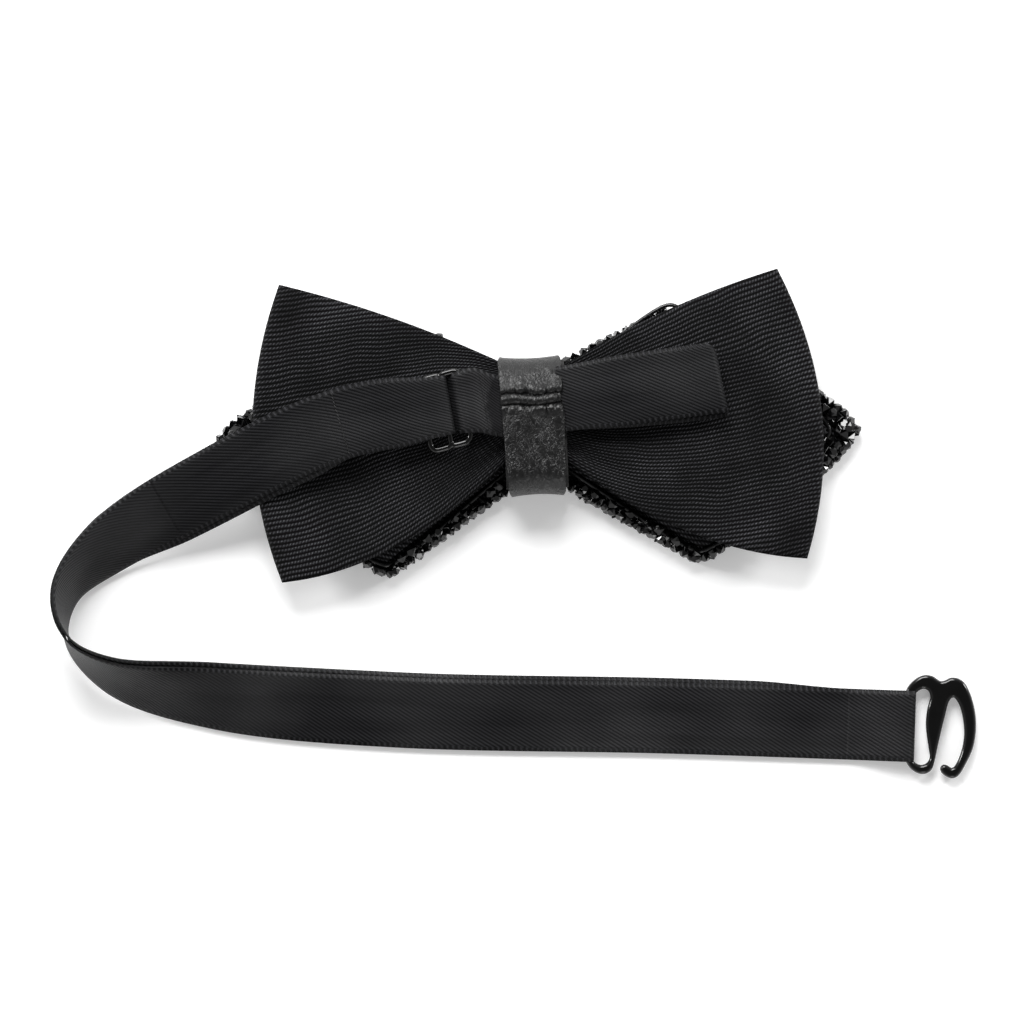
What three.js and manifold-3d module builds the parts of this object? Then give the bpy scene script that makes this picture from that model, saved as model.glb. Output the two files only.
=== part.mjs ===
// Pre-tied double-layer bow tie with an adjustable neck ribbon, a slider and a hook.
// Units are millimetres, +Z up. The bow lies face down: its stones touch z = 0, its back is up.
// The origin is on the table under the middle of the knot. X runs along the bow's long axis
// and Y along its height. The bow's left end, at -X, carries the neck ribbon.
import * as THREE from "three";
import Module from "manifold-3d";
import { mergeVertices } from "three/addons/utils/BufferGeometryUtils.js";

// ---- Driving dimensions ----
const CLEARANCE = 0.3; // gap kept between pieces that touch

const STONES = { thickness: 2.2, overhang: 0.9 }; // sheet of stones, past the cloth beneath it
// Cloth of the pointed wings. The stones stand past it: by rootInset beside the knot, by
// tipInset at its point and by inset elsewhere.
const FRONT_WING = { thickness: 1.5, rootHalf: 12.6, inset: 2.6, tipInset: 6.6, rootInset: 4.6 };
const BACK_PLY = 0.7; // folded cloth of one ply of a back wing
const BACK_LOOP = { foldHeight: 3.4, crown: 1.2, rootHeight: 2.8 };
const PIPING_RADIUS = 0.45;
const INTERLINING = { thickness: 0.5, inset: 0.08 }; // inset as a share of the wing's reach

// Heights of the stacked layers, from the table up.
const frontBottom = STONES.thickness + CLEARANCE;
const backBottom = frontBottom + FRONT_WING.thickness + CLEARANCE;
const backDepth = BACK_PLY + BACK_LOOP.foldHeight + BACK_LOOP.crown;
const KNOT_ABOVE_WINGS = 4.0; // room over the back wings for the neck ribbon and the band

const KNOT = {
  width: 12.4, // along X
  height: 28.4, // along Y
  bottom: 0, // height of its front face above the table
  top: backBottom + backDepth + KNOT_ABOVE_WINGS, // height of its back face
  leather: 1.2, // thickness of the band
  corner: 4.4, // rounding of the band's corners, seen from its end
  seamY: 5.2, // the seam crosses the back of the band above its middle
};

// Outer corners of the back wings, from the knot's middle; each corner is given relative to it.
const WING = { reach: 51.4, half: 29.4 };
// Corners of the pointed wings, measured outwards from the knot; both sit a little low.
const DIAMOND_LEFT = {
  topX: 27,
  topY: WING.half - 8.8,
  bottomX: 29.6,
  bottomY: -WING.half + 0.7,
  tipX: WING.reach + 13,
  tipY: -2.0,
};
const DIAMOND_RIGHT = {
  topX: 26.6,
  topY: WING.half - 7.2,
  bottomX: 31,
  bottomY: -WING.half + 1.1,
  tipX: WING.reach + 13.2,
  tipY: -3.4,
};
const BACK_LEFT = {
  side: -1,
  root: [-7.5, 12.8],
  bottomCorner: [WING.reach, -WING.half],
  topCorner: [WING.reach - 1.7, WING.half + 0.4],
  outerBulge: 5.6,
  bottomBulge: -4.8,
  topBulge: 1.2,
};
const BACK_RIGHT = {
  side: 1,
  root: [-7.5, 11.9],
  bottomCorner: [WING.reach + 1.5, -WING.half + 0.7],
  topCorner: [WING.reach - 2.2, WING.half - 0.3],
  outerBulge: 5.9,
  bottomBulge: -4.3,
  topBulge: 1.5,
};

const RIBBON = { width: 14.2, thickness: 0.45, pinch: 2.4, pinchReach: 7.0 };
const PLY_PITCH = RIBBON.thickness + 0.25; // from one ply's middle to the next one's

// The ribbon is a little pinched in the slider's slots and loose in the hook's.
const SLIDER = {
  wire: 1.25,
  slot: RIBBON.width - 1.05,
  pitch: 4.1, // from the middle bar to a side bar
  outerCorner: 1.5,
  innerCorner: 0.9,
  shift: -0.55, // across the ribbon
};
const HOOK = { wire: 2.6, bar: 1.8, slot: RIBBON.width + 0.8 };

// Neck ribbon, seen from above, from the slider's middle bar to the hook's bar.
const NECK_ROUTE = [
  [-17.9, 4.5],
  [-39.6, 1.4],
  [-64.9, -9.3],
  [-85.2, -20.4],
  [-94.6, -30.0],
  [-94.8, -39.0],
  [-86.5, -46.6],
  [-66.3, -51.8],
  [-29.2, -56.3],
  [24.3, -59.6],
  [72.0, -63.1],
];
const TURN = { at: 94, before: 32, after: 44 }; // where and how fast the ribbon rolls over
// How it comes down from the bow to the table, once it is past the wings.
const DROP = { height: KNOT.top - 0.6, from: WING.reach - 31.4, to: WING.reach + 28.6 };
const END_FOLD = { tail: 21.0, upper: 23.0 }; // sewn end, measured from the slider's middle bar
const RUNS = { farEnd: 82, bendEnd: 113 }; // where the far run, the bend and the near run meet
const HOOK_RISE = 12; // length over which the near run rises to the hook's bar
const SECOND_PLY_SHIFT = 0.9; // how far one ply of the near run peeks out past the other

const HOOK_LOOP = { length: 31.6, slope: 5.6, startY: 5.0, gap: 2.0, drop: 0.2, start: 1.0 };
const STITCH = { radius: 0.3, edge: 0.8, sway: 0.3 };

// ---- Materials ----
const twill = () => new THREE.MeshStandardMaterial({ color: 0x101012, roughness: 0.8 });
const satin = () => new THREE.MeshStandardMaterial({ color: 0x0d0d0f, roughness: 0.45 });
const leather = () => new THREE.MeshStandardMaterial({ color: 0x141414, roughness: 0.4 });
const paintedMetal = () =>
  new THREE.MeshStandardMaterial({ color: 0x050505, roughness: 0.2, metalness: 0.3 });
const crystal = () => new THREE.MeshStandardMaterial({ color: 0x080808, roughness: 0.05 });
const thread = () => new THREE.MeshStandardMaterial({ color: 0x0a0a0a, roughness: 0.9 });
const canvas = () => new THREE.MeshStandardMaterial({ color: 0x1c1c1c, roughness: 0.9 });

const group = new THREE.Group();

function addPiece(name, geometry, material) {
  const mesh = new THREE.Mesh(geometry, material);
  mesh.name = name;
  group.add(mesh);
  return mesh;
}

// ---- Closed-solid builders ----
const smooth = (t) => {
  const clamped = Math.min(Math.max(t, 0), 1);
  return clamped * clamped * (3 - 2 * clamped);
};
const lerp = (a, b, t) => a + (b - a) * t;

function signedVolume(positions, indices) {
  let volume = 0;
  const corner = [new THREE.Vector3(), new THREE.Vector3(), new THREE.Vector3()];
  for (let i = 0; i < indices.length; i += 3) {
    corner.forEach((c, k) => c.fromArray(positions, indices[i + k] * 3));
    volume += corner[0].dot(corner[1].clone().cross(corner[2])) / 6;
  }
  return volume;
}

function closedGeometry(positions, indices) {
  if (signedVolume(positions, indices) < 0) {
    indices.reverse();
  }
  const geometry = new THREE.BufferGeometry();
  geometry.setAttribute("position", new THREE.Float32BufferAttribute(positions, 3));
  geometry.setIndex(indices);
  return geometry;
}

// A closed sheet of even thickness about the surface point(u, v), u and v from 0 to 1.
function sheetSolid(point, stepsU, stepsV, thickness) {
  const rows = [];
  for (let i = 0; i <= stepsU; i += 1) {
    rows.push([]);
    for (let j = 0; j <= stepsV; j += 1) {
      rows[i].push(point(i / stepsU, j / stepsV));
    }
  }
  const positions = [];
  const at = (i, j, layer) => (i * (stepsV + 1) + j) * 2 + layer;
  for (let i = 0; i <= stepsU; i += 1) {
    for (let j = 0; j <= stepsV; j += 1) {
      const along = rows[Math.min(i + 1, stepsU)][j].clone().sub(rows[Math.max(i - 1, 0)][j]);
      const across = rows[i][Math.min(j + 1, stepsV)].clone().sub(rows[i][Math.max(j - 1, 0)]);
      const normal = along.cross(across).normalize().multiplyScalar(thickness / 2);
      positions.push(...rows[i][j].clone().sub(normal).toArray());
      positions.push(...rows[i][j].clone().add(normal).toArray());
    }
  }
  const indices = [];
  const quad = (a, b, c, d) => indices.push(a, b, c, a, c, d);
  for (let i = 0; i < stepsU; i += 1) {
    for (let j = 0; j < stepsV; j += 1) {
      quad(at(i, j, 1), at(i + 1, j, 1), at(i + 1, j + 1, 1), at(i, j + 1, 1));
      quad(at(i, j, 0), at(i, j + 1, 0), at(i + 1, j + 1, 0), at(i + 1, j, 0));
    }
    quad(at(i, 0, 0), at(i + 1, 0, 0), at(i + 1, 0, 1), at(i, 0, 1));
    quad(at(i, stepsV, 1), at(i + 1, stepsV, 1), at(i + 1, stepsV, 0), at(i, stepsV, 0));
  }
  for (let j = 0; j < stepsV; j += 1) {
    quad(at(0, j, 1), at(0, j + 1, 1), at(0, j + 1, 0), at(0, j, 0));
    quad(at(stepsU, j, 0), at(stepsU, j + 1, 0), at(stepsU, j + 1, 1), at(stepsU, j, 1));
  }
  return closedGeometry(positions, indices);
}

// A round wire through points. A closed one joins its last ring to its first.
function wireSolid(points, radius, closed, sides) {
  const up = new THREE.Vector3(0, 0, 1);
  const count = points.length;
  const positions = [];
  points.forEach((p, i) => {
    const before = points[closed ? (i - 1 + count) % count : Math.max(i - 1, 0)];
    const after = points[closed ? (i + 1) % count : Math.min(i + 1, count - 1)];
    const along = after.clone().sub(before).normalize();
    const side = up.clone().cross(along).normalize();
    const rise = along.clone().cross(side);
    const r = typeof radius === "function" ? radius(i / (count - 1)) : radius;
    for (let k = 0; k < sides; k += 1) {
      const angle = ((k + 0.5) / sides) * Math.PI * 2;
      const offset = side.clone().multiplyScalar(Math.cos(angle) * r);
      positions.push(...p.clone().add(offset).addScaledVector(rise, Math.sin(angle) * r).toArray());
    }
  });
  const indices = [];
  const last = closed ? count : count - 1;
  for (let i = 0; i < last; i += 1) {
    const next = ((i + 1) % count) * sides;
    for (let k = 0; k < sides; k += 1) {
      const turn = (k + 1) % sides;
      indices.push(i * sides + k, next + k, next + turn, i * sides + k, next + turn, i * sides + turn);
    }
  }
  if (!closed) {
    for (let k = 1; k < sides - 1; k += 1) {
      indices.push(0, k, k + 1);
      const end = (count - 1) * sides;
      indices.push(end, end + k + 1, end + k);
    }
  }
  return closedGeometry(positions, indices);
}

const wasm = await Module();
wasm.setup();

function toManifold(geometry) {
  const bare = geometry.clone();
  bare.deleteAttribute("normal");
  bare.deleteAttribute("uv");
  const merged = mergeVertices(bare, 1e-4);
  const vertProperties = new Float32Array(merged.attributes.position.array);
  const triVerts = new Uint32Array(merged.index.array);
  return new wasm.Manifold(new wasm.Mesh({ numProp: 3, vertProperties, triVerts }));
}

function fromManifold(solid) {
  const mesh = solid.getMesh();
  return closedGeometry(Array.from(mesh.vertProperties), Array.from(mesh.triVerts));
}

const union = (first, ...others) =>
  fromManifold(others.reduce((sum, next) => sum.add(toManifold(next)), toManifold(first)));

// ---- Knot: the leather band, the cloth gathered inside it and its sewn seam ----
function roundedRect(width, height, radius) {
  const shape = new THREE.Shape();
  const x = width / 2;
  const y = height / 2;
  shape.moveTo(x, -y + radius);
  shape.lineTo(x, y - radius);
  shape.absarc(x - radius, y - radius, radius, 0, Math.PI / 2, false);
  shape.lineTo(-x + radius, y);
  shape.absarc(-x + radius, y - radius, radius, Math.PI / 2, Math.PI, false);
  shape.lineTo(-x, -y + radius);
  shape.absarc(-x + radius, -y + radius, radius, Math.PI, Math.PI * 1.5, false);
  shape.lineTo(x - radius, -y);
  shape.absarc(x - radius, -y + radius, radius, -Math.PI / 2, 0, false);
  return shape;
}

// A section drawn in (Y, Z) and extruded along X, centred on x = 0.
function alongX(shape, length, centreZ) {
  const geometry = new THREE.ExtrudeGeometry(shape, {
    depth: length,
    bevelEnabled: false,
    curveSegments: 5,
  });
  geometry.translate(0, 0, -length / 2);
  geometry.applyMatrix4(
    new THREE.Matrix4().set(0, 0, 1, 0, 1, 0, 0, 0, 0, 1, 0, centreZ, 0, 0, 0, 1),
  );
  return geometry;
}

const knotDepth = KNOT.top - KNOT.bottom;
const knotMiddle = (KNOT.top + KNOT.bottom) / 2;
const ribbonSink = 0.6; // room under the band's rounded corners for the ribbon's edges
const rootZ = KNOT.top - KNOT.leather - CLEARANCE - RIBBON.thickness / 2 - ribbonSink;
const WING_START = KNOT.width / 2 + CLEARANCE;

function knotBand() {
  const ring = roundedRect(KNOT.height, knotDepth, KNOT.corner);
  const innerHeight = KNOT.height - 2 * KNOT.leather;
  const innerDepth = knotDepth - 2 * KNOT.leather;
  ring.holes.push(roundedRect(innerHeight, innerDepth, KNOT.corner - KNOT.leather));
  return alongX(ring, KNOT.width, knotMiddle);
}

function knotCore() {
  const floor = KNOT.bottom + KNOT.leather + CLEARANCE;
  const ceiling = rootZ - RIBBON.thickness / 2 - CLEARANCE;
  const height = KNOT.height - 2 * (KNOT.leather + CLEARANCE);
  const section = roundedRect(height, ceiling - floor, KNOT.corner - KNOT.leather);
  return alongX(section, KNOT.width, (floor + ceiling) / 2);
}

function knotSeam() {
  const z = KNOT.top + CLEARANCE / 2 + STITCH.radius;
  const half = KNOT.width / 2 - STITCH.edge;
  const points = [];
  for (let i = 0; i <= 8; i += 1) {
    const y = KNOT.seamY + STITCH.sway * Math.sin(i * 1.7); // uneven, as it is sewn by hand
    points.push(new THREE.Vector3(lerp(-half, half, i / 8), y, z));
  }
  return wireSolid(points, STITCH.radius, false, 6);
}

// ---- Front layer: pointed cloth wings, their piping and the sheets of stones ----
// Outline of a pointed wing, each corner softened by a second or third point beside it.
function diamondOutline(side, grow, tipGrow = grow, rootGrow = grow) {
  const wing = side < 0 ? DIAMOND_LEFT : DIAMOND_RIGHT;
  const rootHalf = FRONT_WING.rootHalf + rootGrow;
  const points = [
    [WING_START, -rootHalf],
    [wing.bottomX - grow * 0.4, wing.bottomY - grow],
    [wing.bottomX + 3, wing.bottomY + 0.6 - grow],
    [(wing.bottomX + wing.tipX) / 2 + 4, (wing.bottomY + wing.tipY) / 2 - 0.6 - grow],
    [wing.tipX - 4 + tipGrow, wing.tipY - 5.4],
    [wing.tipX + tipGrow, wing.tipY],
    [wing.tipX - 3.4 + tipGrow, wing.tipY + 4.6],
    [(wing.topX + wing.tipX) / 2 + 3, (wing.topY + wing.tipY) / 2 + 1 + grow],
    [wing.topX + 3, wing.topY - 0.6 + grow],
    [wing.topX - grow * 0.4, wing.topY + grow],
    [WING_START, rootHalf],
  ];
  return points.map(([x, y]) => new THREE.Vector2(side * x, y));
}

function flatSheet(outline, bottom, thickness) {
  const geometry = new THREE.ExtrudeGeometry(new THREE.Shape(outline), {
    depth: thickness,
    bevelEnabled: false,
  });
  geometry.translate(0, 0, bottom);
  return geometry;
}

const stoneSheet = (side) =>
  flatSheet(diamondOutline(side, STONES.overhang), 0, STONES.thickness);

function clothOutline(side) {
  const { inset, tipInset, rootInset } = FRONT_WING;
  return diamondOutline(side, -inset, -tipInset, -rootInset);
}

const frontWing = (side) => flatSheet(clothOutline(side), frontBottom, FRONT_WING.thickness);

// The cloth's edge moved straight out by a distance; its ends stay beside the knot.
function edgeOffset(side, distance) {
  const outline = clothOutline(side);
  const normals = outline.slice(1).map((point, i) => {
    const span = point.clone().sub(outline[i]).normalize();
    return new THREE.Vector2(span.y, -span.x).multiplyScalar(side);
  });
  return outline.map((point, i) => {
    const before = normals[Math.max(i - 1, 0)];
    const after = normals[Math.min(i, normals.length - 1)];
    if (before === after) {
      return point.clone().setY(point.y + distance / after.y);
    }
    const mitre = distance / (1 + before.dot(after));
    return point.clone().add(before.clone().add(after).multiplyScalar(mitre));
  });
}

function piping(side) {
  const z = frontBottom + PIPING_RADIUS;
  const path = edgeOffset(side, PIPING_RADIUS + CLEARANCE);
  return wireSolid(path.map((p) => new THREE.Vector3(p.x, p.y, z)), PIPING_RADIUS, false, 6);
}

// ---- Back layer: each wing is one length of twill folded at its outer edge ----
// Plan position on a wing: s runs from the knot to the outer edge, v from bottom to top.
function wingPlan(wing, s, v) {
  const bow = 4 * v * (1 - v);
  const outerX = lerp(wing.bottomCorner[0], wing.topCorner[0], v) + wing.outerBulge * bow;
  const arch = 4 * s * (1 - s);
  const bottomY = lerp(wing.root[0], wing.bottomCorner[1], s) + wing.bottomBulge * arch;
  const topY = lerp(wing.root[1], wing.topCorner[1], s) + wing.topBulge * arch;
  return [wing.side * lerp(WING_START, outerX, s), lerp(bottomY, topY, v)];
}

// Half the height of the loop of cloth at s: low at the knot, full in the middle.
function loopHalf(s) {
  const open = lerp(BACK_LOOP.rootHeight, BACK_LOOP.foldHeight, smooth(s * 2));
  return open / 2 + (BACK_LOOP.crown / 2) * Math.sin(Math.PI * s);
}
const loopMiddle = backBottom + backDepth / 2;

function backWing(wing) {
  const foldShare = 0.04; // the share of the wing's reach that its rounded fold takes up
  const foldSteps = 6;
  const flatSteps = 9;
  const path = [];
  for (let i = 0; i <= flatSteps; i += 1) {
    const s = (i / flatSteps) * (1 - foldShare);
    path.push([s, loopHalf(s)]);
  }
  const foldHalf = loopHalf(1 - foldShare);
  for (let i = 1; i < foldSteps; i += 1) {
    const angle = (i / foldSteps) * Math.PI;
    path.push([1 - foldShare + foldShare * Math.sin(angle), foldHalf * Math.cos(angle)]);
  }
  for (let i = flatSteps; i >= 0; i -= 1) {
    const s = (i / flatSteps) * (1 - foldShare);
    path.push([s, -loopHalf(s)]);
  }
  const point = (u, v) => {
    const [s, rise] = path[Math.round(u * (path.length - 1))];
    const [x, y] = wingPlan(wing, s, v);
    return new THREE.Vector3(x, y, loopMiddle + rise);
  };
  return sheetSolid(point, path.length - 1, 5, BACK_PLY);
}

function interlining(wing) {
  const point = (u, v) => {
    const [x, y] = wingPlan(wing, lerp(INTERLINING.inset, 1 - INTERLINING.inset, u), v);
    return new THREE.Vector3(x, y, loopMiddle);
  };
  return sheetSolid(point, 5, 4, INTERLINING.thickness);
}

// ---- Neck ribbon: its route, how it rolls over and its height above the table ----
const route = new THREE.CatmullRomCurve3(
  NECK_ROUTE.map(([x, y]) => new THREE.Vector3(x, y, 0)),
  false,
  "centripetal",
);
route.arcLengthDivisions = 800;
const ROUTE_LENGTH = route.getLength();
const startAlong = route.getTangentAt(0);

// Roll of the ribbon at s: 0 is flat with one face up, 90 on edge, 180 flat with the other up.
function rollAt(s) {
  const reach = s < TURN.at ? TURN.before : TURN.after;
  return (Math.PI / 2) * (1 + Math.tanh((s - TURN.at) / reach));
}

const wrapGap = 0.2; // between a bar and the ribbon round it
const hookBarZ = HOOK.bar / 2 + wrapGap + RIBBON.thickness + CLEARANCE / 3;

// Middle of the ribbon at s, with the directions across its width and off its face.
function ribbonFrame(s) {
  const share = Math.min(Math.max(s / ROUTE_LENGTH, 0), 1);
  const along = route.getTangentAt(share);
  const centre = route.getPointAt(share);
  centre.addScaledVector(along, Math.min(s, 0) + Math.max(s - ROUTE_LENGTH, 0));
  const nearlyFlat = s > ROUTE_LENGTH - 2 * HOOK_RISE;
  const roll = nearlyFlat ? Math.PI : rollAt(s);
  const outward = new THREE.Vector3(along.y, -along.x, 0);
  const across = outward.multiplyScalar(Math.cos(roll));
  across.z = Math.sin(roll);
  const off = across.clone().cross(along);
  const base = DROP.height * (1 - smooth((s - DROP.from) / (DROP.to - DROP.from)));
  const flatStack = PLY_PITCH / 2 + RIBBON.thickness / 2;
  const onTable = base + (RIBBON.width / 2) * Math.sin(roll) + flatStack;
  const rise = smooth((s - (ROUTE_LENGTH - HOOK_RISE)) / HOOK_RISE);
  centre.z = lerp(onTable, hookBarZ, rise);
  return { centre, across, off };
}

function ribbonWidth(s) {
  return RIBBON.width - RIBBON.pinch * Math.exp(-((s / RIBBON.pinchReach) ** 2));
}

// A stretch of ribbon through stations [s, height off the route's middle, shift across].
function ribbonSolid(stations, stepsAcross = 1) {
  const last = stations.length - 1;
  const point = (u, v) => {
    const [s, height, shift = 0] = stations[Math.round(u * last)];
    const { centre, across, off } = ribbonFrame(s);
    const side = (v - 0.5) * ribbonWidth(s) + shift;
    return centre.addScaledVector(across, side).addScaledVector(off, height);
  };
  return sheetSolid(point, last, stepsAcross, RIBBON.thickness);
}

function evenStations(from, to, step, height, shift = () => 0) {
  const count = Math.max(1, Math.round((to - from) / step));
  return Array.from({ length: count + 1 }, (_, i) => {
    const s = lerp(from, to, i / count);
    return [s, height(s), shift(s)];
  });
}

// ---- Slider: two slots side by side, with the ribbon's sewn end round the bar between ----
const sliderRadius = SLIDER.wire / 2;
const wrapRadius = sliderRadius + wrapGap + RIBBON.thickness / 2; // ribbon wrapped round a bar
const underBar = wrapRadius + RIBBON.thickness + CLEARANCE; // ply passing under that wrap
const overBar = sliderRadius + CLEARANCE + RIBBON.thickness / 2; // ply passing over a side bar
const sliderHeight = -PLY_PITCH / 2 - overBar; // bars' height, off the route's middle

// The ply that goes through the slider dips under the middle bar and over both side bars.
function throughHeight(s) {
  const reach = Math.abs(s);
  if (reach > SLIDER.pitch) {
    return -PLY_PITCH / 2;
  }
  const middle = (overBar - underBar) / 2;
  const swing = (overBar + underBar) / 2;
  return sliderHeight + middle - swing * Math.cos((Math.PI * s) / SLIDER.pitch);
}

function sliderPoint(s, across, height) {
  const frame = ribbonFrame(0);
  const place = frame.centre.addScaledVector(startAlong, s);
  return place.addScaledVector(frame.across, across).addScaledVector(frame.off, height);
}

// One slot of the frame, on the side of the middle bar that side gives (-1 or 1).
function sliderSlot(side) {
  const half = SLIDER.slot / 2 + sliderRadius;
  const outer = SLIDER.outerCorner;
  const inner = SLIDER.innerCorner;
  const points = [];
  const arc = (cs, cy, radius, start) => {
    for (let i = 0; i <= 3; i += 1) {
      const angle = start + (i / 3) * (Math.PI / 2);
      const s = side * (cs + radius * Math.cos(angle));
      const across = SLIDER.shift + cy + radius * Math.sin(angle);
      points.push(sliderPoint(s, across, sliderHeight));
    }
  };
  arc(SLIDER.pitch - outer, half - outer, outer, 0);
  arc(inner, half - inner, inner, Math.PI / 2);
  arc(inner, -half + inner, inner, Math.PI);
  arc(SLIDER.pitch - outer, -half + outer, outer, Math.PI * 1.5);
  return wireSolid(points, sliderRadius, true, 8);
}

const slider = () => union(sliderSlot(-1), sliderSlot(1));

// Folded end: a tail under the ribbon, the wrap round the middle bar, then the upper ply.
function endFold() {
  const tailHeight = PLY_PITCH / 2;
  const upperHeight = tailHeight + PLY_PITCH;
  const stations = [];
  const settle = SLIDER.pitch - sliderRadius; // where both plies clear the side bar
  for (let i = 0; i <= 3; i += 1) {
    stations.push([lerp(END_FOLD.tail, settle, i / 3), tailHeight]);
  }
  const wrapFrom = -42; // degrees round the bar where the tail meets it
  const wrapTo = -245;
  for (let i = 0; i <= 8; i += 1) {
    const angle = THREE.MathUtils.degToRad(lerp(wrapFrom, wrapTo, i / 8));
    const height = sliderHeight + wrapRadius * Math.sin(angle);
    stations.push([wrapRadius * Math.cos(angle), height]);
  }
  for (let i = 0; i <= 3; i += 1) {
    stations.push([lerp(settle, END_FOLD.upper, i / 3), upperHeight]);
  }
  return ribbonSolid(stations);
}

function endStitch() {
  const height = PLY_PITCH * 1.5 + RIBBON.thickness / 2 + STITCH.radius + CLEARANCE / 3;
  const half = RIBBON.width / 2 - STITCH.edge;
  const frame = ribbonFrame(END_FOLD.tail);
  const points = [];
  for (let i = 0; i <= 8; i += 1) {
    const side = lerp(-half, half, i / 8);
    const middle = frame.centre.clone().addScaledVector(frame.off, height);
    points.push(middle.addScaledVector(frame.across, side));
  }
  return wireSolid(points, STITCH.radius, false, 6);
}

// The tab runs from the knot to the slider's middle bar.
const slantedEnd = (RIBBON.width / 2) * Math.abs(startAlong.y); // its end isn't square to X
const TAB_START = (-NECK_ROUTE[0][0] - WING_START - slantedEnd) / startAlong.x;

function tabHeight(s) {
  const knotHeight = rootZ - ribbonFrame(0).centre.z;
  const share = smooth((-s - SLIDER.pitch) / (-TAB_START - SLIDER.pitch));
  return lerp(throughHeight(s), knotHeight, share);
}

const tab = () => ribbonSolid(evenStations(TAB_START, 0, 0.7, tabHeight), 2);

// ---- Plies of the neck ribbon, in three runs ----
const peek = (s) => SECOND_PLY_SHIFT * smooth((s - 60) / 30);
const lowPly = () => -PLY_PITCH / 2;
const highPly = () => PLY_PITCH / 2;

function lowStations(from, to, step) {
  return evenStations(from, to, step, lowPly);
}
function highStations(from, to, step) {
  const end = ROUTE_LENGTH - HOOK_RISE;
  const shift = (s) => peek(s) * (1 - smooth((s - end + 20) / 20));
  return evenStations(from, to, step, highPly, shift);
}

function farLowRun() {
  const throughSlider = evenStations(CLEARANCE, SLIDER.pitch, 0.7, throughHeight);
  const rest = lowStations(SLIDER.pitch + 2, RUNS.farEnd, 4);
  return ribbonSolid([...throughSlider, ...rest]);
}
const farHighRun = () =>
  ribbonSolid(highStations(END_FOLD.upper + CLEARANCE, RUNS.farEnd, 4));

const bendFrom = RUNS.farEnd + CLEARANCE;
const nearFrom = RUNS.bendEnd + CLEARANCE;
const nearTo = ROUTE_LENGTH - HOOK_RISE;

// The two plies meet in one fold round the hook's bar.
function hookFold() {
  const radius = HOOK.bar / 2 + wrapGap + RIBBON.thickness / 2;
  const from = nearTo + CLEARANCE;
  const spread = (s) => lerp(PLY_PITCH / 2, radius, smooth((s - nearTo) / HOOK_RISE));
  const stations = [];
  for (let i = 0; i <= 5; i += 1) {
    const s = lerp(from, ROUTE_LENGTH, i / 5);
    stations.push([s, spread(s)]);
  }
  for (let i = 1; i < 6; i += 1) {
    const angle = (i / 6) * Math.PI;
    stations.push([ROUTE_LENGTH + radius * Math.sin(angle), radius * Math.cos(angle)]);
  }
  for (let i = 5; i >= 0; i -= 1) {
    const s = lerp(from, ROUTE_LENGTH, i / 5);
    stations.push([s, -spread(s)]);
  }
  return ribbonSolid(stations);
}

// ---- Hook: a bar for the ribbon, two lobes, a web and an open hook ----
// Middle lines of its parts in the plane of the near run: x is past the bar's axis and y is
// across the ribbon, drawn for bar ends this far from the middle.
const HOOK_DRAWN_HALF = 8.8;
const HOOK_FRAME = [
  [0, -7.8],
  [0.4, -8.7],
  [1.9, -8.9],
  [4.2, -7.0],
  [4.4, 0],
  [6.0, 5.4],
  [4.7, 8.4],
  [2.0, 9.3],
  [0.5, 8.8],
  [0, 7.8],
];
const HOOK_ARM = [
  [5.7, 2.0],
  [7.0, 6.6],
  [9.1, 8.5],
  [10.5, 6.2],
  [11.3, 0.6],
  [10.7, -4.4],
  [8.9, -7.7],
  [7.1, -9.0],
  [5.7, -7.7],
];

function hookWire(points, radius) {
  const { centre, across } = ribbonFrame(ROUTE_LENGTH);
  const along = route.getTangentAt(1);
  const stretch = (HOOK.slot / 2 + HOOK.wire / 2) / HOOK_DRAWN_HALF;
  const placed = points.map(([x, y]) =>
    centre.clone().addScaledVector(along, x).addScaledVector(across, y * stretch),
  );
  const curve = new THREE.CatmullRomCurve3(placed, false, "centripetal");
  return wireSolid(curve.getSpacedPoints(34), radius, false, 10);
}

function hook() {
  const tapered = (t) => (HOOK.wire / 2) * lerp(0.85, 1, Math.sin(Math.PI * t));
  const bar = hookWire([[0, -HOOK_DRAWN_HALF], [0, HOOK_DRAWN_HALF]], HOOK.bar / 2);
  return union(hookWire(HOOK_FRAME, tapered), bar, hookWire(HOOK_ARM, tapered));
}

// ---- Hook loop: a short ribbon on the other side of the knot, folded back on itself ----
function hookLoop() {
  const slope = THREE.MathUtils.degToRad(HOOK_LOOP.slope);
  const along = new THREE.Vector3(Math.cos(slope), Math.sin(slope), 0);
  const across = new THREE.Vector3(-Math.sin(slope), Math.cos(slope), 0);
  const start = new THREE.Vector3(WING_START + HOOK_LOOP.start, HOOK_LOOP.startY, 0);
  const lowZ = rootZ - HOOK_LOOP.drop;
  const half = HOOK_LOOP.gap / 2;
  const reach = HOOK_LOOP.length - half - RIBBON.thickness / 2;
  const stations = [];
  const join = (t) => lerp(PLY_PITCH / 2, half, smooth(t * 1.6));
  for (let i = 0; i <= 6; i += 1) {
    stations.push([(i / 6) * reach, join(i / 6)]);
  }
  for (let i = 1; i < 6; i += 1) {
    const angle = (i / 6) * Math.PI;
    stations.push([reach + half * Math.sin(angle), half * Math.cos(angle)]);
  }
  for (let i = 6; i >= 0; i -= 1) {
    stations.push([(i / 6) * reach, -join(i / 6)]);
  }
  const last = stations.length - 1;
  const point = (u, v) => {
    const [reachX, height] = stations[Math.round(u * last)];
    const place = start.clone().addScaledVector(along, reachX);
    place.addScaledVector(across, (v - 0.5) * RIBBON.width);
    place.z = lowZ + half + height;
    return place;
  };
  return sheetSolid(point, last, 1, RIBBON.thickness);
}

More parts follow.
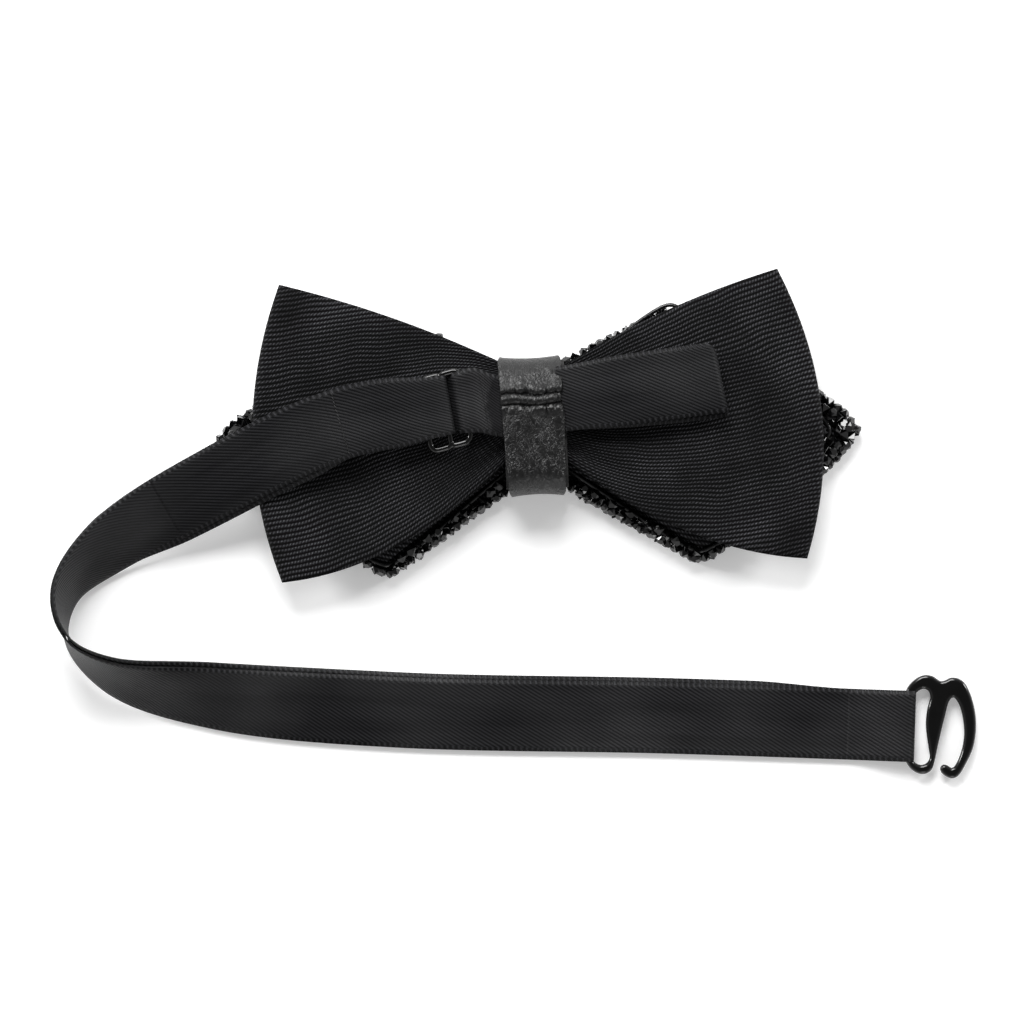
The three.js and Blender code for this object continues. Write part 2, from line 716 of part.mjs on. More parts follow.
// The ribbon's middle, gathered a little and caught between the core and the leather band.
function ribbonRoot() {
  const width = RIBBON.width - 1.6;
  const top = KNOT.height / 2 - KNOT.leather - 1.8; // clear of the band's rounded corner
  const half = KNOT.width / 2;
  const point = (u, v) => new THREE.Vector3(lerp(-half, half, u), top - v * width, rootZ);
  return sheetSolid(point, 2, 1, RIBBON.thickness);
}

// ---- Assembly ----
addPiece("knot_band", knotBand(), leather());
addPiece("knot_core", knotCore(), twill());
addPiece("knot_seam_stitch", knotSeam(), thread());
for (const [side, name] of [[-1, "left"], [1, "right"]]) {
  addPiece(`stone_sheet_${name}`, stoneSheet(side), crystal());
  addPiece(`front_wing_${name}`, frontWing(side), twill());
  addPiece(`piping_${name}`, piping(side), satin());
}
addPiece("back_wing_left", backWing(BACK_LEFT), twill());
addPiece("back_wing_right", backWing(BACK_RIGHT), twill());
addPiece("interlining_left", interlining(BACK_LEFT), canvas());
addPiece("interlining_right", interlining(BACK_RIGHT), canvas());
addPiece("ribbon_root", ribbonRoot(), satin());
addPiece("ribbon_tab", tab(), satin());
addPiece("slider", slider(), paintedMetal());
addPiece("strap_end_fold", endFold(), satin());
addPiece("strap_end_stitch", endStitch(), thread());
addPiece("strap_far_under", farLowRun(), satin());
addPiece("strap_far_upper", farHighRun(), satin());
addPiece("strap_bend_under", ribbonSolid(lowStations(bendFrom, RUNS.bendEnd, 3)), satin());
addPiece("strap_bend_upper", ribbonSolid(highStations(bendFrom, RUNS.bendEnd, 3)), satin());
addPiece("strap_near_under", ribbonSolid(lowStations(nearFrom, nearTo, 6)), satin());
addPiece("strap_near_upper", ribbonSolid(highStations(nearFrom, nearTo, 6)), satin());
addPiece("strap_hook_fold", hookFold(), satin());
addPiece("hook", hook(), paintedMetal());
addPiece("hook_loop", hookLoop(), satin());

export default group;
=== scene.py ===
import math
import random
from dataclasses import dataclass

import bmesh
import bpy
import numpy as np
from mathutils import Matrix, Vector


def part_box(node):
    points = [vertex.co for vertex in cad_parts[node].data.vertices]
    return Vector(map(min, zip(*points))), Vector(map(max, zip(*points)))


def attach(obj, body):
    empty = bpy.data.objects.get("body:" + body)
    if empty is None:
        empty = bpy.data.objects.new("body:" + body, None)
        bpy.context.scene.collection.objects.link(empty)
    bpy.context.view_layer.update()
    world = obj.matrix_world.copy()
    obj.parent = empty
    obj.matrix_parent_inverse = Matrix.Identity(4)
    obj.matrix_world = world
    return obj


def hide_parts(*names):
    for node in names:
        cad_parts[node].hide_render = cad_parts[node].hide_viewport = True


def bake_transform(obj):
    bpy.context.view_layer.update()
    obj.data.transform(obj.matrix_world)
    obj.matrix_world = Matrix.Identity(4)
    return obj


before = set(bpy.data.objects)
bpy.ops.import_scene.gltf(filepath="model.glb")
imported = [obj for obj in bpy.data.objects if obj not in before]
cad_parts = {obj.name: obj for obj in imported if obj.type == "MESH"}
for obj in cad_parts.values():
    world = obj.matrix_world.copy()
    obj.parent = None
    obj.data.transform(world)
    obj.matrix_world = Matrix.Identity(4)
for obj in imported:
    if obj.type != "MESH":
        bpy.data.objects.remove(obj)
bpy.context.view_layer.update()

bl_info = {
    "name": "Pre-tied bow tie",
    "version": (1, 0, 0),
    "blender": (4, 5, 0),
    "location": "View3D > Sidebar > Bow tie",
    "description": "Builds the cloth, ribbon, leather, metal and stones of a bow tie on its CAD frame",
    "category": "Add Mesh",
}

MM = 0.001


# ---------------------------------------------------------------- small helpers
def lerp(a, b, t):
    return a + (b - a) * t


def smooth(t):
    t = np.clip(t, 0.0, 1.0)
    return t * t * (3 - 2 * t)


def bell(t, width):
    return np.exp(-((t / width) ** 2))


def linear(hex_colour):
    """Turns an sRGB hex colour, as an integer, into linear RGBA."""
    def channel(shift):
        c = ((hex_colour >> shift) & 255) / 255
        return c / 12.92 if c <= 0.04045 else ((c + 0.055) / 1.055) ** 2.4

    return (channel(16), channel(8), channel(0), 1.0)


def settings():
    return bpy.context.scene.bow_tie


def box_mm(node):
    return [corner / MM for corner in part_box(node)]


def spaced(start, stop, step):
    return np.linspace(start, stop, max(2, int(round(abs(stop - start) / step)) + 1))


# ---------------------------------------------------------------- meshes
def place_object(name, data):
    obj = bpy.data.objects.new(name, data)
    bpy.context.scene.collection.objects.link(obj)
    return obj


def shade_smooth(mesh, smooth_faces=True):
    mesh.polygons.foreach_set("use_smooth", [smooth_faces] * len(mesh.polygons))


def as_grid(x, y, z):
    return np.stack(np.broadcast_arrays(x, y, z), axis=-1)


def arcs(corners, count):
    """Points round a ring of corners, each a centre, a radius and a first angle in degrees."""
    points = []
    for x, y, radius, start in corners:
        for angle in np.radians(np.linspace(start, start + 90, count)):
            points.append((x + radius * math.cos(angle), y + radius * math.sin(angle)))
    return points + points[:1]


def cloth_marks(shape, along, across, width=0.0):
    """Cloth coordinates in millimetres for a grid: along the cloth, across it and a width."""
    marks = np.zeros(shape)
    for k, value in enumerate((along, across, width)):
        marks[..., k] = value
    return marks


def mesh_object(name, points, faces, pattern=None, flat=False):
    """Makes a mesh object from points in millimetres, with its cloth coordinates stored on it."""
    mesh = bpy.data.meshes.new(name)
    mesh.from_pydata([tuple(p) for p in np.asarray(points) * MM], [], faces)
    if pattern is not None:
        layer = mesh.attributes.new("cloth_mm", "FLOAT_VECTOR", "POINT")
        layer.data.foreach_set("vector", np.asarray(pattern, dtype=np.float32).ravel())
    mesh.validate()
    shade_smooth(mesh, not flat)
    return place_object(name, mesh)


def face_outward(obj):
    work = bmesh.new()
    work.from_mesh(obj.data)
    bmesh.ops.recalc_face_normals(work, faces=work.faces)
    work.to_mesh(obj.data)
    work.free()


def grid_normals(grid, loop):
    if loop:
        along = np.roll(grid, -1, axis=0) - np.roll(grid, 1, axis=0)
    else:
        along = np.gradient(grid, axis=0)
    across = np.gradient(grid, axis=1)
    normal = np.cross(along, across)
    return normal / np.maximum(np.linalg.norm(normal, axis=2, keepdims=True), 1e-9)


def quads(a, b, c, d):
    return np.stack([a, b, c, d], axis=-1).reshape(-1, 4).tolist()


def cloth(name, grid, pattern, thickness, loop=False, crisp=True, mirror=None):
    """A closed sheet about a grid of points, its rows joined end to end if loop.

    thickness is one value, or one for each row. mirror gives, for each row, 1 or -1: which face
    of it shows the pattern turned over.
    """
    rows, columns = grid.shape[:2]
    depth = np.broadcast_to(np.asarray(thickness, dtype=float), (rows,))
    normal = grid_normals(grid, loop) * (depth[:, None, None] / 2)
    points = np.concatenate([(grid + normal).reshape(-1, 3), (grid - normal).reshape(-1, 3)])
    first, second = pattern.copy(), pattern.copy()
    if mirror is not None:
        first[..., 1] *= np.asarray(mirror)[:, None]
        second[..., 1] *= -np.asarray(mirror)[:, None]
    marks = np.concatenate([first.reshape(-1, 3), second.reshape(-1, 3)])
    half = rows * columns
    index = np.arange(half).reshape(rows, columns)
    if loop:
        index = np.vstack([index, index[:1]])
    a, b, c, d = index[:-1, :-1], index[1:, :-1], index[1:, 1:], index[:-1, 1:]
    broad = quads(a, b, c, d) + quads(a + half, d + half, c + half, b + half)
    narrow = []
    for rim in [index[:, 0], index[:, -1]] + ([] if loop else [index[0], index[-1]]):
        narrow += quads(rim[:-1], rim[1:], rim[1:] + half, rim[:-1] + half)
    obj = mesh_object(name, points, broad + narrow, marks)
    if crisp:
        shading = [True] * len(broad) + [False] * len(narrow)
        obj.data.polygons.foreach_set("use_smooth", shading)
    face_outward(obj)
    return obj


def wire(name, path, radius, sides):
    """A round wire through points in millimetres, with rounded ends."""
    path = np.asarray(path, dtype=float)
    along = np.gradient(path, axis=0)
    along /= np.linalg.norm(along, axis=1, keepdims=True)
    side = np.cross((0.0, 0.0, 1.0), along)
    side /= np.maximum(np.linalg.norm(side, axis=1, keepdims=True), 1e-9)
    rise = np.cross(along, side)
    angle = 2 * math.pi * np.arange(sides)[None, :, None] / sides
    points = path[:, None] + (side[:, None] * np.cos(angle) + rise[:, None] * np.sin(angle)) * radius
    cap = [(0.94, 0.35), (0.66, 0.75), (0.0, 1.0)]      # each end ring's width and reach
    first = [path[0] + (points[0] - path[0]) * w - along[0] * radius * d for w, d in cap[::-1]]
    last = [path[-1] + (points[-1] - path[-1]) * w + along[-1] * radius * d for w, d in cap]
    points = np.concatenate([np.array(first), points, np.array(last)])
    ring = np.arange(len(points) * sides).reshape(-1, sides)
    turned = np.roll(ring, -1, axis=1)
    faces = quads(ring[:-1], turned[:-1], turned[1:], ring[1:])
    faces += [ring[0].tolist(), ring[-1, ::-1].tolist()]
    return mesh_object(name, points.reshape(-1, 3), faces)


def join(name, parts):
    """Joins mesh objects into one, named name."""
    bpy.ops.object.select_all(action="DESELECT")
    for part in parts:
        part.select_set(True)
    bpy.context.view_layer.objects.active = parts[0]
    bpy.ops.object.join()
    parts[0].name = name
    parts[0].data.name = name
    return parts[0]


def finished_mesh(obj):
    """The mesh that an object's modifiers or curve settings give."""
    bpy.context.view_layer.update()
    graph = bpy.context.evaluated_depsgraph_get()
    return bpy.data.meshes.new_from_object(obj.evaluated_get(graph), depsgraph=graph)


def curve_through(points, count):
    """Points evenly spaced along one smooth curve through the given points."""
    points = np.asarray(points, dtype=float)
    ends = np.vstack([2 * points[0] - points[1], points, 2 * points[-1] - points[-2]])
    dense = []
    for i in range(1, len(ends) - 2):
        p0, p1, p2, p3 = ends[i - 1:i + 3]
        d0, d1, d2 = [max(np.linalg.norm(b - a), 1e-6) ** 0.5 for a, b in ((p0, p1), (p1, p2), (p2, p3))]
        m1 = ((p1 - p0) / d0 - (p2 - p0) / (d0 + d1) + (p2 - p1) / d1) * d1
        m2 = ((p2 - p1) / d1 - (p3 - p1) / (d1 + d2) + (p3 - p2) / d2) * d1
        for w in np.linspace(0, 1, 60, endpoint=False):
            shape = -3 * p1 + 3 * p2 - 2 * m1 - m2
            dense.append(p1 + m1 * w + shape * w**2 + (2 * p1 - 2 * p2 + m1 + m2) * w**3)
    dense = np.array(dense + [points[-1]])
    reach = np.concatenate([[0], np.cumsum(np.linalg.norm(np.diff(dense, axis=0), axis=1))])
    wanted = np.linspace(0, reach[-1], count)
    return np.stack([np.interp(wanted, reach, dense[:, k]) for k in range(3)], axis=1)


# ---------------------------------------------------------------- materials
def operation(kind):
    def work(self, other):
        return self.build.maths(kind, self, other)

    return work


class Value:
    """A value that a material's nodes work out; arithmetic on it adds math nodes."""
    __add__ = operation("ADD")
    __sub__ = operation("SUBTRACT")
    __mul__ = operation("MULTIPLY")
    __truediv__ = operation("DIVIDE")
    __pow__ = operation("POWER")

    def __init__(self, build, socket):
        self.build = build
        self.socket = socket

    def __rsub__(self, other):
        return self.build.maths("SUBTRACT", other, self)


class Shader:
    """A material or world that is being built, and short ways to add nodes to it."""

    def __init__(self, owner):
        self.tree = owner.node_tree
        self.surface = self.tree.nodes.get("Principled BSDF")

    def put(self, node, name, value):
        """Links a value to a node's input, by name or place, or writes a plain one there."""
        if isinstance(value, Value):
            self.tree.links.new(value.socket, node.inputs[name])
        else:
            node.inputs[name].default_value = value

    def fill(self, node, **values):
        for name, value in values.items():
            self.put(node, name.replace("_", " "), value)

    def node(self, kind, *inputs, output=0, **values):
        """Adds a node: its first inputs in order, then its properties and other inputs by name."""
        node = self.tree.nodes.new("ShaderNode" + kind)
        for name, value in values.items():
            if hasattr(node, name):
                setattr(node, name, value)
            else:
                self.fill(node, **{name: value})
        for place, value in enumerate(inputs):
            self.put(node, place, value)
        return Value(self, node.outputs[output])

    def maths(self, operation, *inputs):
        return self.node("Math", *inputs, operation=operation)

    def noise(self, place, scale, detail, output="Fac"):
        return self.node("TexNoise", place, output=output, Scale=scale, Detail=detail)

    def cracks(self, place, scale):
        """Distance from the nearest line of an irregular net."""
        return self.node("TexVoronoi", place, output="Distance", feature="DISTANCE_TO_EDGE", Scale=scale)

    def object_place(self):
        return self.node("TexCoord", output="Object")

    def cloth_axes(self):
        """The cloth's own coordinates in millimetres: all of them, along, across and a width."""
        place = self.node("Attribute", output="Vector", attribute_name="cloth_mm")
        split = self.node("SeparateXYZ", place).socket.node
        return [place] + [Value(self, socket) for socket in split.outputs]

    def stripes(self, along, across, pitch, angle):
        """Even stripes, 0 to 1, at an angle in degrees to the cloth's length."""
        turn = math.radians(angle)
        first = along * (math.sin(turn) * 2 * math.pi / pitch)
        second = across * (math.cos(turn) * 2 * math.pi / pitch)
        return self.maths("SINE", first + second) * 0.5 + 0.5

    def finish(self, height, colour, rough, bump_mm, strength):
        """Sets the surface's relief, and its colour and roughness: a 0 to 1 pattern and two ends."""
        tint, dark, light = colour
        mixed = self.node(
            "Mix", output=2, data_type="RGBA", Factor=tint, A=linear(dark), B=linear(light),
        )
        spread = self.node("MapRange", rough[0], To_Min=rough[1], To_Max=rough[2])
        bump = self.node("Bump", Height=height, Strength=strength, Distance=bump_mm * MM)
        self.fill(self.surface, Base_Color=mixed, Roughness=spread, Normal=bump)


def makes_material(name, colour, **shader):
    """Turns a function that builds a shader into one that makes or finds its material."""
    def wrap(build_shader):
        def make():
            material = bpy.data.materials.get(name)
            if material is None:
                material = bpy.data.materials.new(name)
                material.use_nodes = True
                build = Shader(material)
                build.fill(build.surface, Base_Color=linear(colour), **shader)
                build_shader(build)
            return material

        return make

    return wrap


@makes_material(
    "polyester_twill_woven", 0x0D0D0E, Specular_IOR_Level=0.06, Sheen_Weight=0.02, Sheen_Roughness=0.5,
)
def twill_weave(build):
    """Polyester twill, woven: dull near-black, its raised ribs painted lighter as a painted highlight."""
    pitch = settings().twill_pitch / MM
    place, along, across, _ = build.cloth_axes()
    across = build.noise(place, 0.09, 1.0) * 1.6 + across
    ribs = build.stripes(along, across, pitch, 12)
    floats = build.stripes(along, across, pitch * 0.62, 62)
    grain = build.noise(place, 3.4, 4.0)
    cloud = build.noise(place, 0.06, 2.0)
    weave = (ribs * (floats * 0.7 + 0.3)) ** 1.6
    # Painted highlight: the ribs are painted lighter where light would catch them; the grain and the broad
    # cloud are random tone.
    painted_sheen_and_tone = weave * grain**2.0 * 5.0 * cloud**1.5
    build.finish(grain * 0.3 + weave, (painted_sheen_and_tone, 0x020202, 0x5E5E62), (weave, 0.85, 0.6), 0.3, 0.85)


@makes_material(
    "polyester_satin_ribbon_woven", 0x0E0E0F, Specular_IOR_Level=0.2, Sheen_Weight=0.02,
    Sheen_Roughness=0.4,
)
def satin_weave(build):
    """Polyester satin ribbon, woven: smooth black, a soft sheen that is partly real gloss and partly
    painted sheen, diagonal floats and a corded edge.
    """
    values = settings()
    selvedge, groove_half = values.selvedge / MM, 0.15
    place, along, across, half = build.cloth_axes()
    floats = build.stripes(along, across, values.satin_pitch / MM, 30)
    ticks = build.stripes(along, across, values.picot_pitch / MM, 78) ** 2.0
    # Long diagonal streaks for the painted sheen on the floats.
    painted_sheen_streak = build.node("Mapping", place, Scale=(0.05, 0.9, 1.0), Rotation=(0.0, 0.0, math.radians(30)))
    inside = half - build.maths("ABSOLUTE", across)
    edge = build.maths("LESS_THAN", inside, selvedge)
    groove = build.maths("COMPARE", inside, selvedge + groove_half, groove_half)
    keep = 1.0 - edge
    lift = edge * (ticks * 1.9 + 0.1)
    body = build.noise(place, 3.2, 4.0) * 0.35 + floats * 0.6 - groove
    # Painted sheen: the floats are painted lighter along the streaks, and the edge's raised ticks get
    # painted highlights.
    painted_sheen_and_tone = floats * (build.noise(painted_sheen_streak, 0.5, 3.0) * 0.9 + 0.1) * keep + lift * 0.5
    waves = build.node("Mapping", place, Scale=(0.035, 0.05, 1.0))
    gleam = build.node(
        "MapRange", build.noise(waves, 1.0, 2.0), From_Min=0.35, From_Max=0.65, To_Min=0.05, To_Max=0.26,
    )
    build.fill(build.surface, Specular_IOR_Level=gleam)
    build.finish(body * keep + lift, (painted_sheen_and_tone, 0x060607, 0x2C2C2E), (floats, 0.46, 0.56), 0.12, 0.75)


@makes_material("polyurethane_leathercloth_embossed", 0x101011, Specular_IOR_Level=0.42)
def creased_leather(build):
    """Polyurethane-coated leathercloth, embossed: near-black, semi-gloss, fine grain and creases, with
    painted shade in the creases.
    """
    place = build.cloth_axes()[0]
    grain = build.cracks(place, 1 / (settings().grain_size / MM))
    drift = build.noise(place, 0.7, 3.0, output="Color")
    centred = build.node("VectorMath", drift, (0.5, 0.5, 0.5), operation="SUBTRACT")
    bent = build.node("VectorMath", centred, (2.4, 2.4, 0.0), place, operation="MULTIPLY_ADD")
    creases = []
    for turn, size, width in ((12, 0.42, 0.4), (-26, 0.7, 0.34)):
        stretch = build.node(
            "Mapping", bent, Scale=(0.55 * size, 1.7 * size, 1.0), Rotation=(0.0, 0.0, math.radians(turn)),
        )
        creases.append(1.0 - build.maths("MINIMUM", build.cracks(stretch, 1.15) / width, 1.0))
    folds = build.maths("MAXIMUM", *creases)
    fine = build.noise(place, 1.1, 2.0)
    height = fine * 0.35 + grain * 0.1 - folds * 0.8
    # Painted shade: the creases are painted darker than the rest, as shade in their valleys.
    build.finish(height, (folds, 0x111112, 0x010101), (fine, 0.3, 0.46), 0.24, 0.85)


@makes_material("polyurethane_piping_smooth", 0x0A0A0A, Specular_IOR_Level=0.5)
def smooth_piping(build):
    """Polyurethane-coated piping cord, smooth: black and glossy, with faint dents along it."""
    dents = build.noise(build.object_place(), 600.0, 2.0)
    build.finish(dents, (dents, 0x050505, 0x161617), (dents, 0.18, 0.34), 0.08, 0.5)


@makes_material(
    "zinc_alloy_gloss_enamel", 0x050505, Specular_IOR_Level=0.35, Coat_Weight=0.25, Coat_Roughness=0.08,
)
def gloss_paint(build):
    """Zinc alloy, cast and stove-enamelled: deep gloss black, with faint pitting."""
    pits = build.noise(build.object_place(), 900.0, 2.0)
    wear = build.noise(build.object_place(), 260.0, 4.0)
    build.finish(pits, (wear, 0x020202, 0x080808), (wear, 0.1, 0.2), 0.01, 0.2)


@makes_material(
    "jet_glass_cut_polished", 0x040404, Specular_IOR_Level=0.6, Coat_Weight=0.25, Coat_Roughness=0.02,
)
def jet_stone(build):
    """Jet-black glass stones, cut and polished: black, with hard white reflections on their facets."""
    film = build.noise(build.object_place(), 700.0, 2.0)
    build.finish(film, (film, 0x010101, 0x0D0D0E), (film, 0.02, 0.1), 0.01, 0.15)


@makes_material("polyester_thread_spun", 0x0C0C0C, Specular_IOR_Level=0.3)
def spun_thread(build):
    """Polyester sewing thread, spun: dull black with a fine twist."""
    twist = build.node(
        "TexWave", build.object_place(), output="Fac", bands_direction="DIAGONAL", Scale=900.0,
        Distortion=1.5,
    )
    build.finish(twist, (twist, 0x070707, 0x222223), (twist, 0.75, 0.5), 0.06, 0.6)


@makes_material("interlining_canvas_woven", 0x2A2A2A, Specular_IOR_Level=0.2)
def canvas_weave(build):
    """Stiff interlining canvas, woven: dull dark grey, an open plain weave."""
    threads = build.node("TexChecker", build.object_place(), output="Fac", Scale=2200.0)
    fuzz = build.noise(build.object_place(), 1800.0, 3.0)
    build.finish(threads + fuzz, (fuzz, 0x181818, 0x3A3A3A), (fuzz, 0.8, 0.95), 0.05, 0.5)


# The emission is a painted glow: the paper glows a little though it is no lamp, which lightens the shadows
# on it.
@makes_material(
    "matt_white_paper", 0xF4F4F4, Specular_IOR_Level=0.1, Roughness=0.95,
    Emission_Color=(1.0, 1.0, 1.0, 1.0), Emission_Strength=0.2,
)
def matt_paper(build):
    """Backdrop paper, uncoated: matt white with a faint fibre, and a faint painted glow that lightens the
    shadows on it.
    """
    fibre = build.noise(build.object_place(), 900.0, 3.0)
    build.fill(build.surface, Normal=build.node("Bump", Height=fibre, Strength=0.05, Distance=0.0001))


def dress(obj, material, body, slot_name, *replaced):
    """Gives a finished piece its material and its body, and hides the CAD nodes that it stands for."""
    obj.data.materials.clear()
    obj.data.materials.append(material)
    if body:
        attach(obj, body)
    if replaced:
        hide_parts(*replaced)
    return obj


# ---------------------------------------------------------------- sizes of the pieces, in mm
@dataclass
class Wing:
    """One folded back wing, seen from above: its root, its corners and how its edges bulge."""
    side: int
    root: tuple
    bottom: tuple
    top: tuple
    outer_bulge: float
    bottom_bulge: float
    top_bulge: float

    def plan(self, s, v):
        bow = 4 * v * (1 - v)
        outer = lerp(self.bottom[0], self.top[0], v) + self.outer_bulge * bow
        arch = 4 * s * (1 - s)
        low = lerp(self.root[0], self.bottom[1], s) + self.bottom_bulge * arch
        high = lerp(self.root[1], self.top[1], s) + self.top_bulge * arch
        return self.side * lerp(WING_START, outer, s), lerp(low, high, v)


KNOT_LOW, KNOT_HIGH = box_mm("knot_band")
KNOT_HALF_WIDTH = KNOT_HIGH.x
KNOT_HALF_HEIGHT = KNOT_HIGH.y
WING_START = KNOT_HALF_WIDTH + 0.3
LEFT_WING = Wing(-1, (-7.5, 12.8), (51.4, -29.4), (49.7, 29.8), 5.6, -4.8, 1.2)
RIGHT_WING = Wing(1, (-7.5, 11.9), (52.9, -28.7), (49.2, 29.1), 5.9, -4.3, 1.5)

RIBBON_WIDTH = 14.2
RIBBON_THICKNESS = 0.45
RIBBON_CLOTH = 0.4          # thickness of the shown cloth
TONGUE = 0.4                # reach of a stretch's end into the next one
RIBBON_CUP = 0.1            # how far its edges lie below its middle
PLY_PITCH = RIBBON_THICKNESS + 0.25
NECK_ROUTE = [
    (-17.9, 4.5), (-39.6, 1.4), (-64.9, -9.3), (-85.2, -20.4), (-94.6, -30.0), (-94.8, -39.0),
    (-86.5, -46.6), (-66.3, -51.8), (-29.2, -56.3), (24.3, -59.6), (72.0, -63.1),
]
TURN_AT, TURN_BEFORE, TURN_AFTER = 94, 32, 44
DROP_HEIGHT, DROP_FROM, DROP_TO = 13.0, 20, 80
HOOK_RISE = 12
FOLD_TAIL, FOLD_UPPER = 21.0, 23.0
SLIDER_WIRE, SLIDER_PITCH, SLIDER_SHIFT = 1.25, 4.1, -1.05
SLIDER_SKEW = 0.09
HOOK_BAR = 1.8
WRAP_GAP = 0.2


# ---------------------------------------------------------------- neck ribbon
class Route:
    """The neck ribbon's middle line from the slider's bar to the hook's bar, and how it lies."""

    def __init__(self):
        points = [(x, y, 0.0) for x, y in NECK_ROUTE]
        self.points = curve_through(points, 4000)
        steps = np.linalg.norm(np.diff(self.points, axis=0), axis=1)
        self.length = float(steps.sum())
        self.reach = np.linspace(0, self.length, len(self.points))
        tangent = np.gradient(self.points, axis=0)
        self.tangent = tangent / np.linalg.norm(tangent, axis=1, keepdims=True)

    def along(self, s):
        t = np.stack([np.interp(s, self.reach, self.tangent[:, k]) for k in range(3)], axis=-1)
        return t / np.linalg.norm(t, axis=-1, keepdims=True)

    def frames(self, s):
        """Middle, direction across and direction off the face, at each s."""
        s = np.asarray(s, dtype=float)
        along = self.along(s)
        middle = np.stack([np.interp(s, self.reach, self.points[:, k]) for k in range(3)], axis=-1)
        past = np.minimum(s, 0) + np.maximum(s - self.length, 0)
        middle = middle + along * past[:, None]
        reach = np.where(s < TURN_AT, TURN_BEFORE, TURN_AFTER)
        roll = math.pi / 2 * (1 + np.tanh((s - TURN_AT) / reach))
        roll = np.where(s > self.length - 2 * HOOK_RISE, math.pi, roll)
        across = np.stack(
            [along[:, 1] * np.cos(roll), -along[:, 0] * np.cos(roll), np.sin(roll)], axis=-1
        )
        off = np.cross(across, along)
        base = DROP_HEIGHT * (1 - smooth((s - DROP_FROM) / (DROP_TO - DROP_FROM)))
        table = base + RIBBON_WIDTH / 2 * np.sin(roll) + PLY_PITCH / 2 + RIBBON_THICKNESS / 2
        hook_height = HOOK_BAR / 2 + WRAP_GAP + RIBBON_THICKNESS + 0.1
        rise = smooth((s - (self.length - HOOK_RISE)) / HOOK_RISE)
        middle[:, 2] = lerp(table, hook_height, rise)
        return middle, across, off


ROUTE = Route()
END = ROUTE.length
SLIDER_RADIUS = SLIDER_WIRE / 2
WRAP_RADIUS = SLIDER_RADIUS + WRAP_GAP + RIBBON_THICKNESS / 2
UNDER_BAR = WRAP_RADIUS + RIBBON_THICKNESS + 0.3
OVER_BAR = SLIDER_RADIUS + 0.3 + RIBBON_THICKNESS / 2
SLIDER_HEIGHT = -PLY_PITCH / 2 - OVER_BAR


def ribbon_width(s):
    """The ribbon is pinched inside the slider, before the knot and again inside it."""
    slider_pinch = 2.4 * bell(s, 7.0)
    knot_pinch = 1.4 * smooth((-7 - s) / 4) + 2.0 * smooth((-12 - s) / 1.5)
    return RIBBON_WIDTH - slider_pinch - knot_pinch


def through_height(s):
    """Height of the ply that dips under the slider's middle bar and rides over its side bars."""
    middle = (OVER_BAR - UNDER_BAR) / 2
    swing = (OVER_BAR + UNDER_BAR) / 2
    wave = SLIDER_HEIGHT + middle - swing * np.cos(math.pi * s / SLIDER_PITCH)
    return np.where(np.abs(s) > SLIDER_PITCH, -PLY_PITCH / 2, wave)


def ribbon(name, s, height, shift, tongues):
    """A stretch of ribbon through stations s, at heights off the route's middle line.

    A thin tongue on either end reaches into the stretch that it butts against.
    """
    s = np.asarray(s, dtype=float)
    height = np.broadcast_to(np.asarray(height, dtype=float), s.shape)
    shift = np.broadcast_to(np.asarray(shift, dtype=float), s.shape)
    thickness = np.full(len(s), RIBBON_CLOTH)
    before, after = [int(tongue) for tongue in tongues]
    s, height, shift, thickness = [
        np.pad(row, (before, after), mode="edge") for row in (s, height, shift, thickness)
    ]
    for end, inner in [(0, 1)] * before + [(-1, -2)] * after:
        s[end] += math.copysign(TONGUE, s[end] - s[inner * 2])
        thickness[end] = RIBBON_CLOTH / 2
    middle, across, off = ROUTE.frames(s)
    v = np.linspace(-0.5, 0.5, 13)
    side = v[None, :] * ribbon_width(s)[:, None] + shift[:, None]
    cup = RIBBON_CUP * (4 * v**2)[None, :]
    grid = middle[:, None, :] + across[:, None, :] * side[..., None]
    grid = grid + off[:, None, :] * (height[:, None] - cup)[..., None]
    length = float(np.linalg.norm(np.diff(middle + off * height[:, None], axis=0), axis=1).sum())
    pattern = cloth_marks(grid.shape, s[:, None], v * RIBBON_WIDTH, RIBBON_WIDTH / 2)
    forward = np.where(np.gradient(s) >= 0, 1, -1)
    return cloth(name, grid, pattern, thickness, mirror=forward), length


def round_turn(runs, spread, end, radius, steps=15):
    """Distances and heights out along one ply, round a half turn and back along the other."""
    turn = np.linspace(0, math.pi, steps)[1:-1]
    distance = np.concatenate([runs, end + radius * np.sin(turn), runs[::-1]])
    return distance, np.concatenate([spread, radius * np.cos(turn), -spread[::-1]])


def place_at(s):
    """One station's middle, and the directions along, across and off the ribbon there."""
    middle, across, off = ROUTE.frames([float(s)])
    return middle[0], ROUTE.along(np.array([float(s)]))[0], across[0], off[0]


def station(s):
    """A point on the route's middle, in metres."""
    return tuple(place_at(s)[0] * MM)


def peek(s):
    """How far the upper ply of the near run lies to one side of the other."""
    end = END - HOOK_RISE
    return 0.9 * smooth((s - 60) / 30) * (1 - smooth((s - end + 20) / 20))


def under_peek(s):
    """How far the lower ply of the far run shows past the upper one's edge."""
    return -1.15 * smooth((s - 20) / 10) * (1 - smooth((s - 58) / 16))


def lay_ribbon(name, s, height, rests, *nodes, shift=0.0, tongues=(False, False), body=None, bend=None):
    """A finished stretch of ribbon, attached to a body if one is given."""
    obj, length = ribbon(name, s, height, shift, tongues)
    dress(obj, satin_weave(), body, "satin_ribbon", *nodes)
    if bend:
        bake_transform(obj)


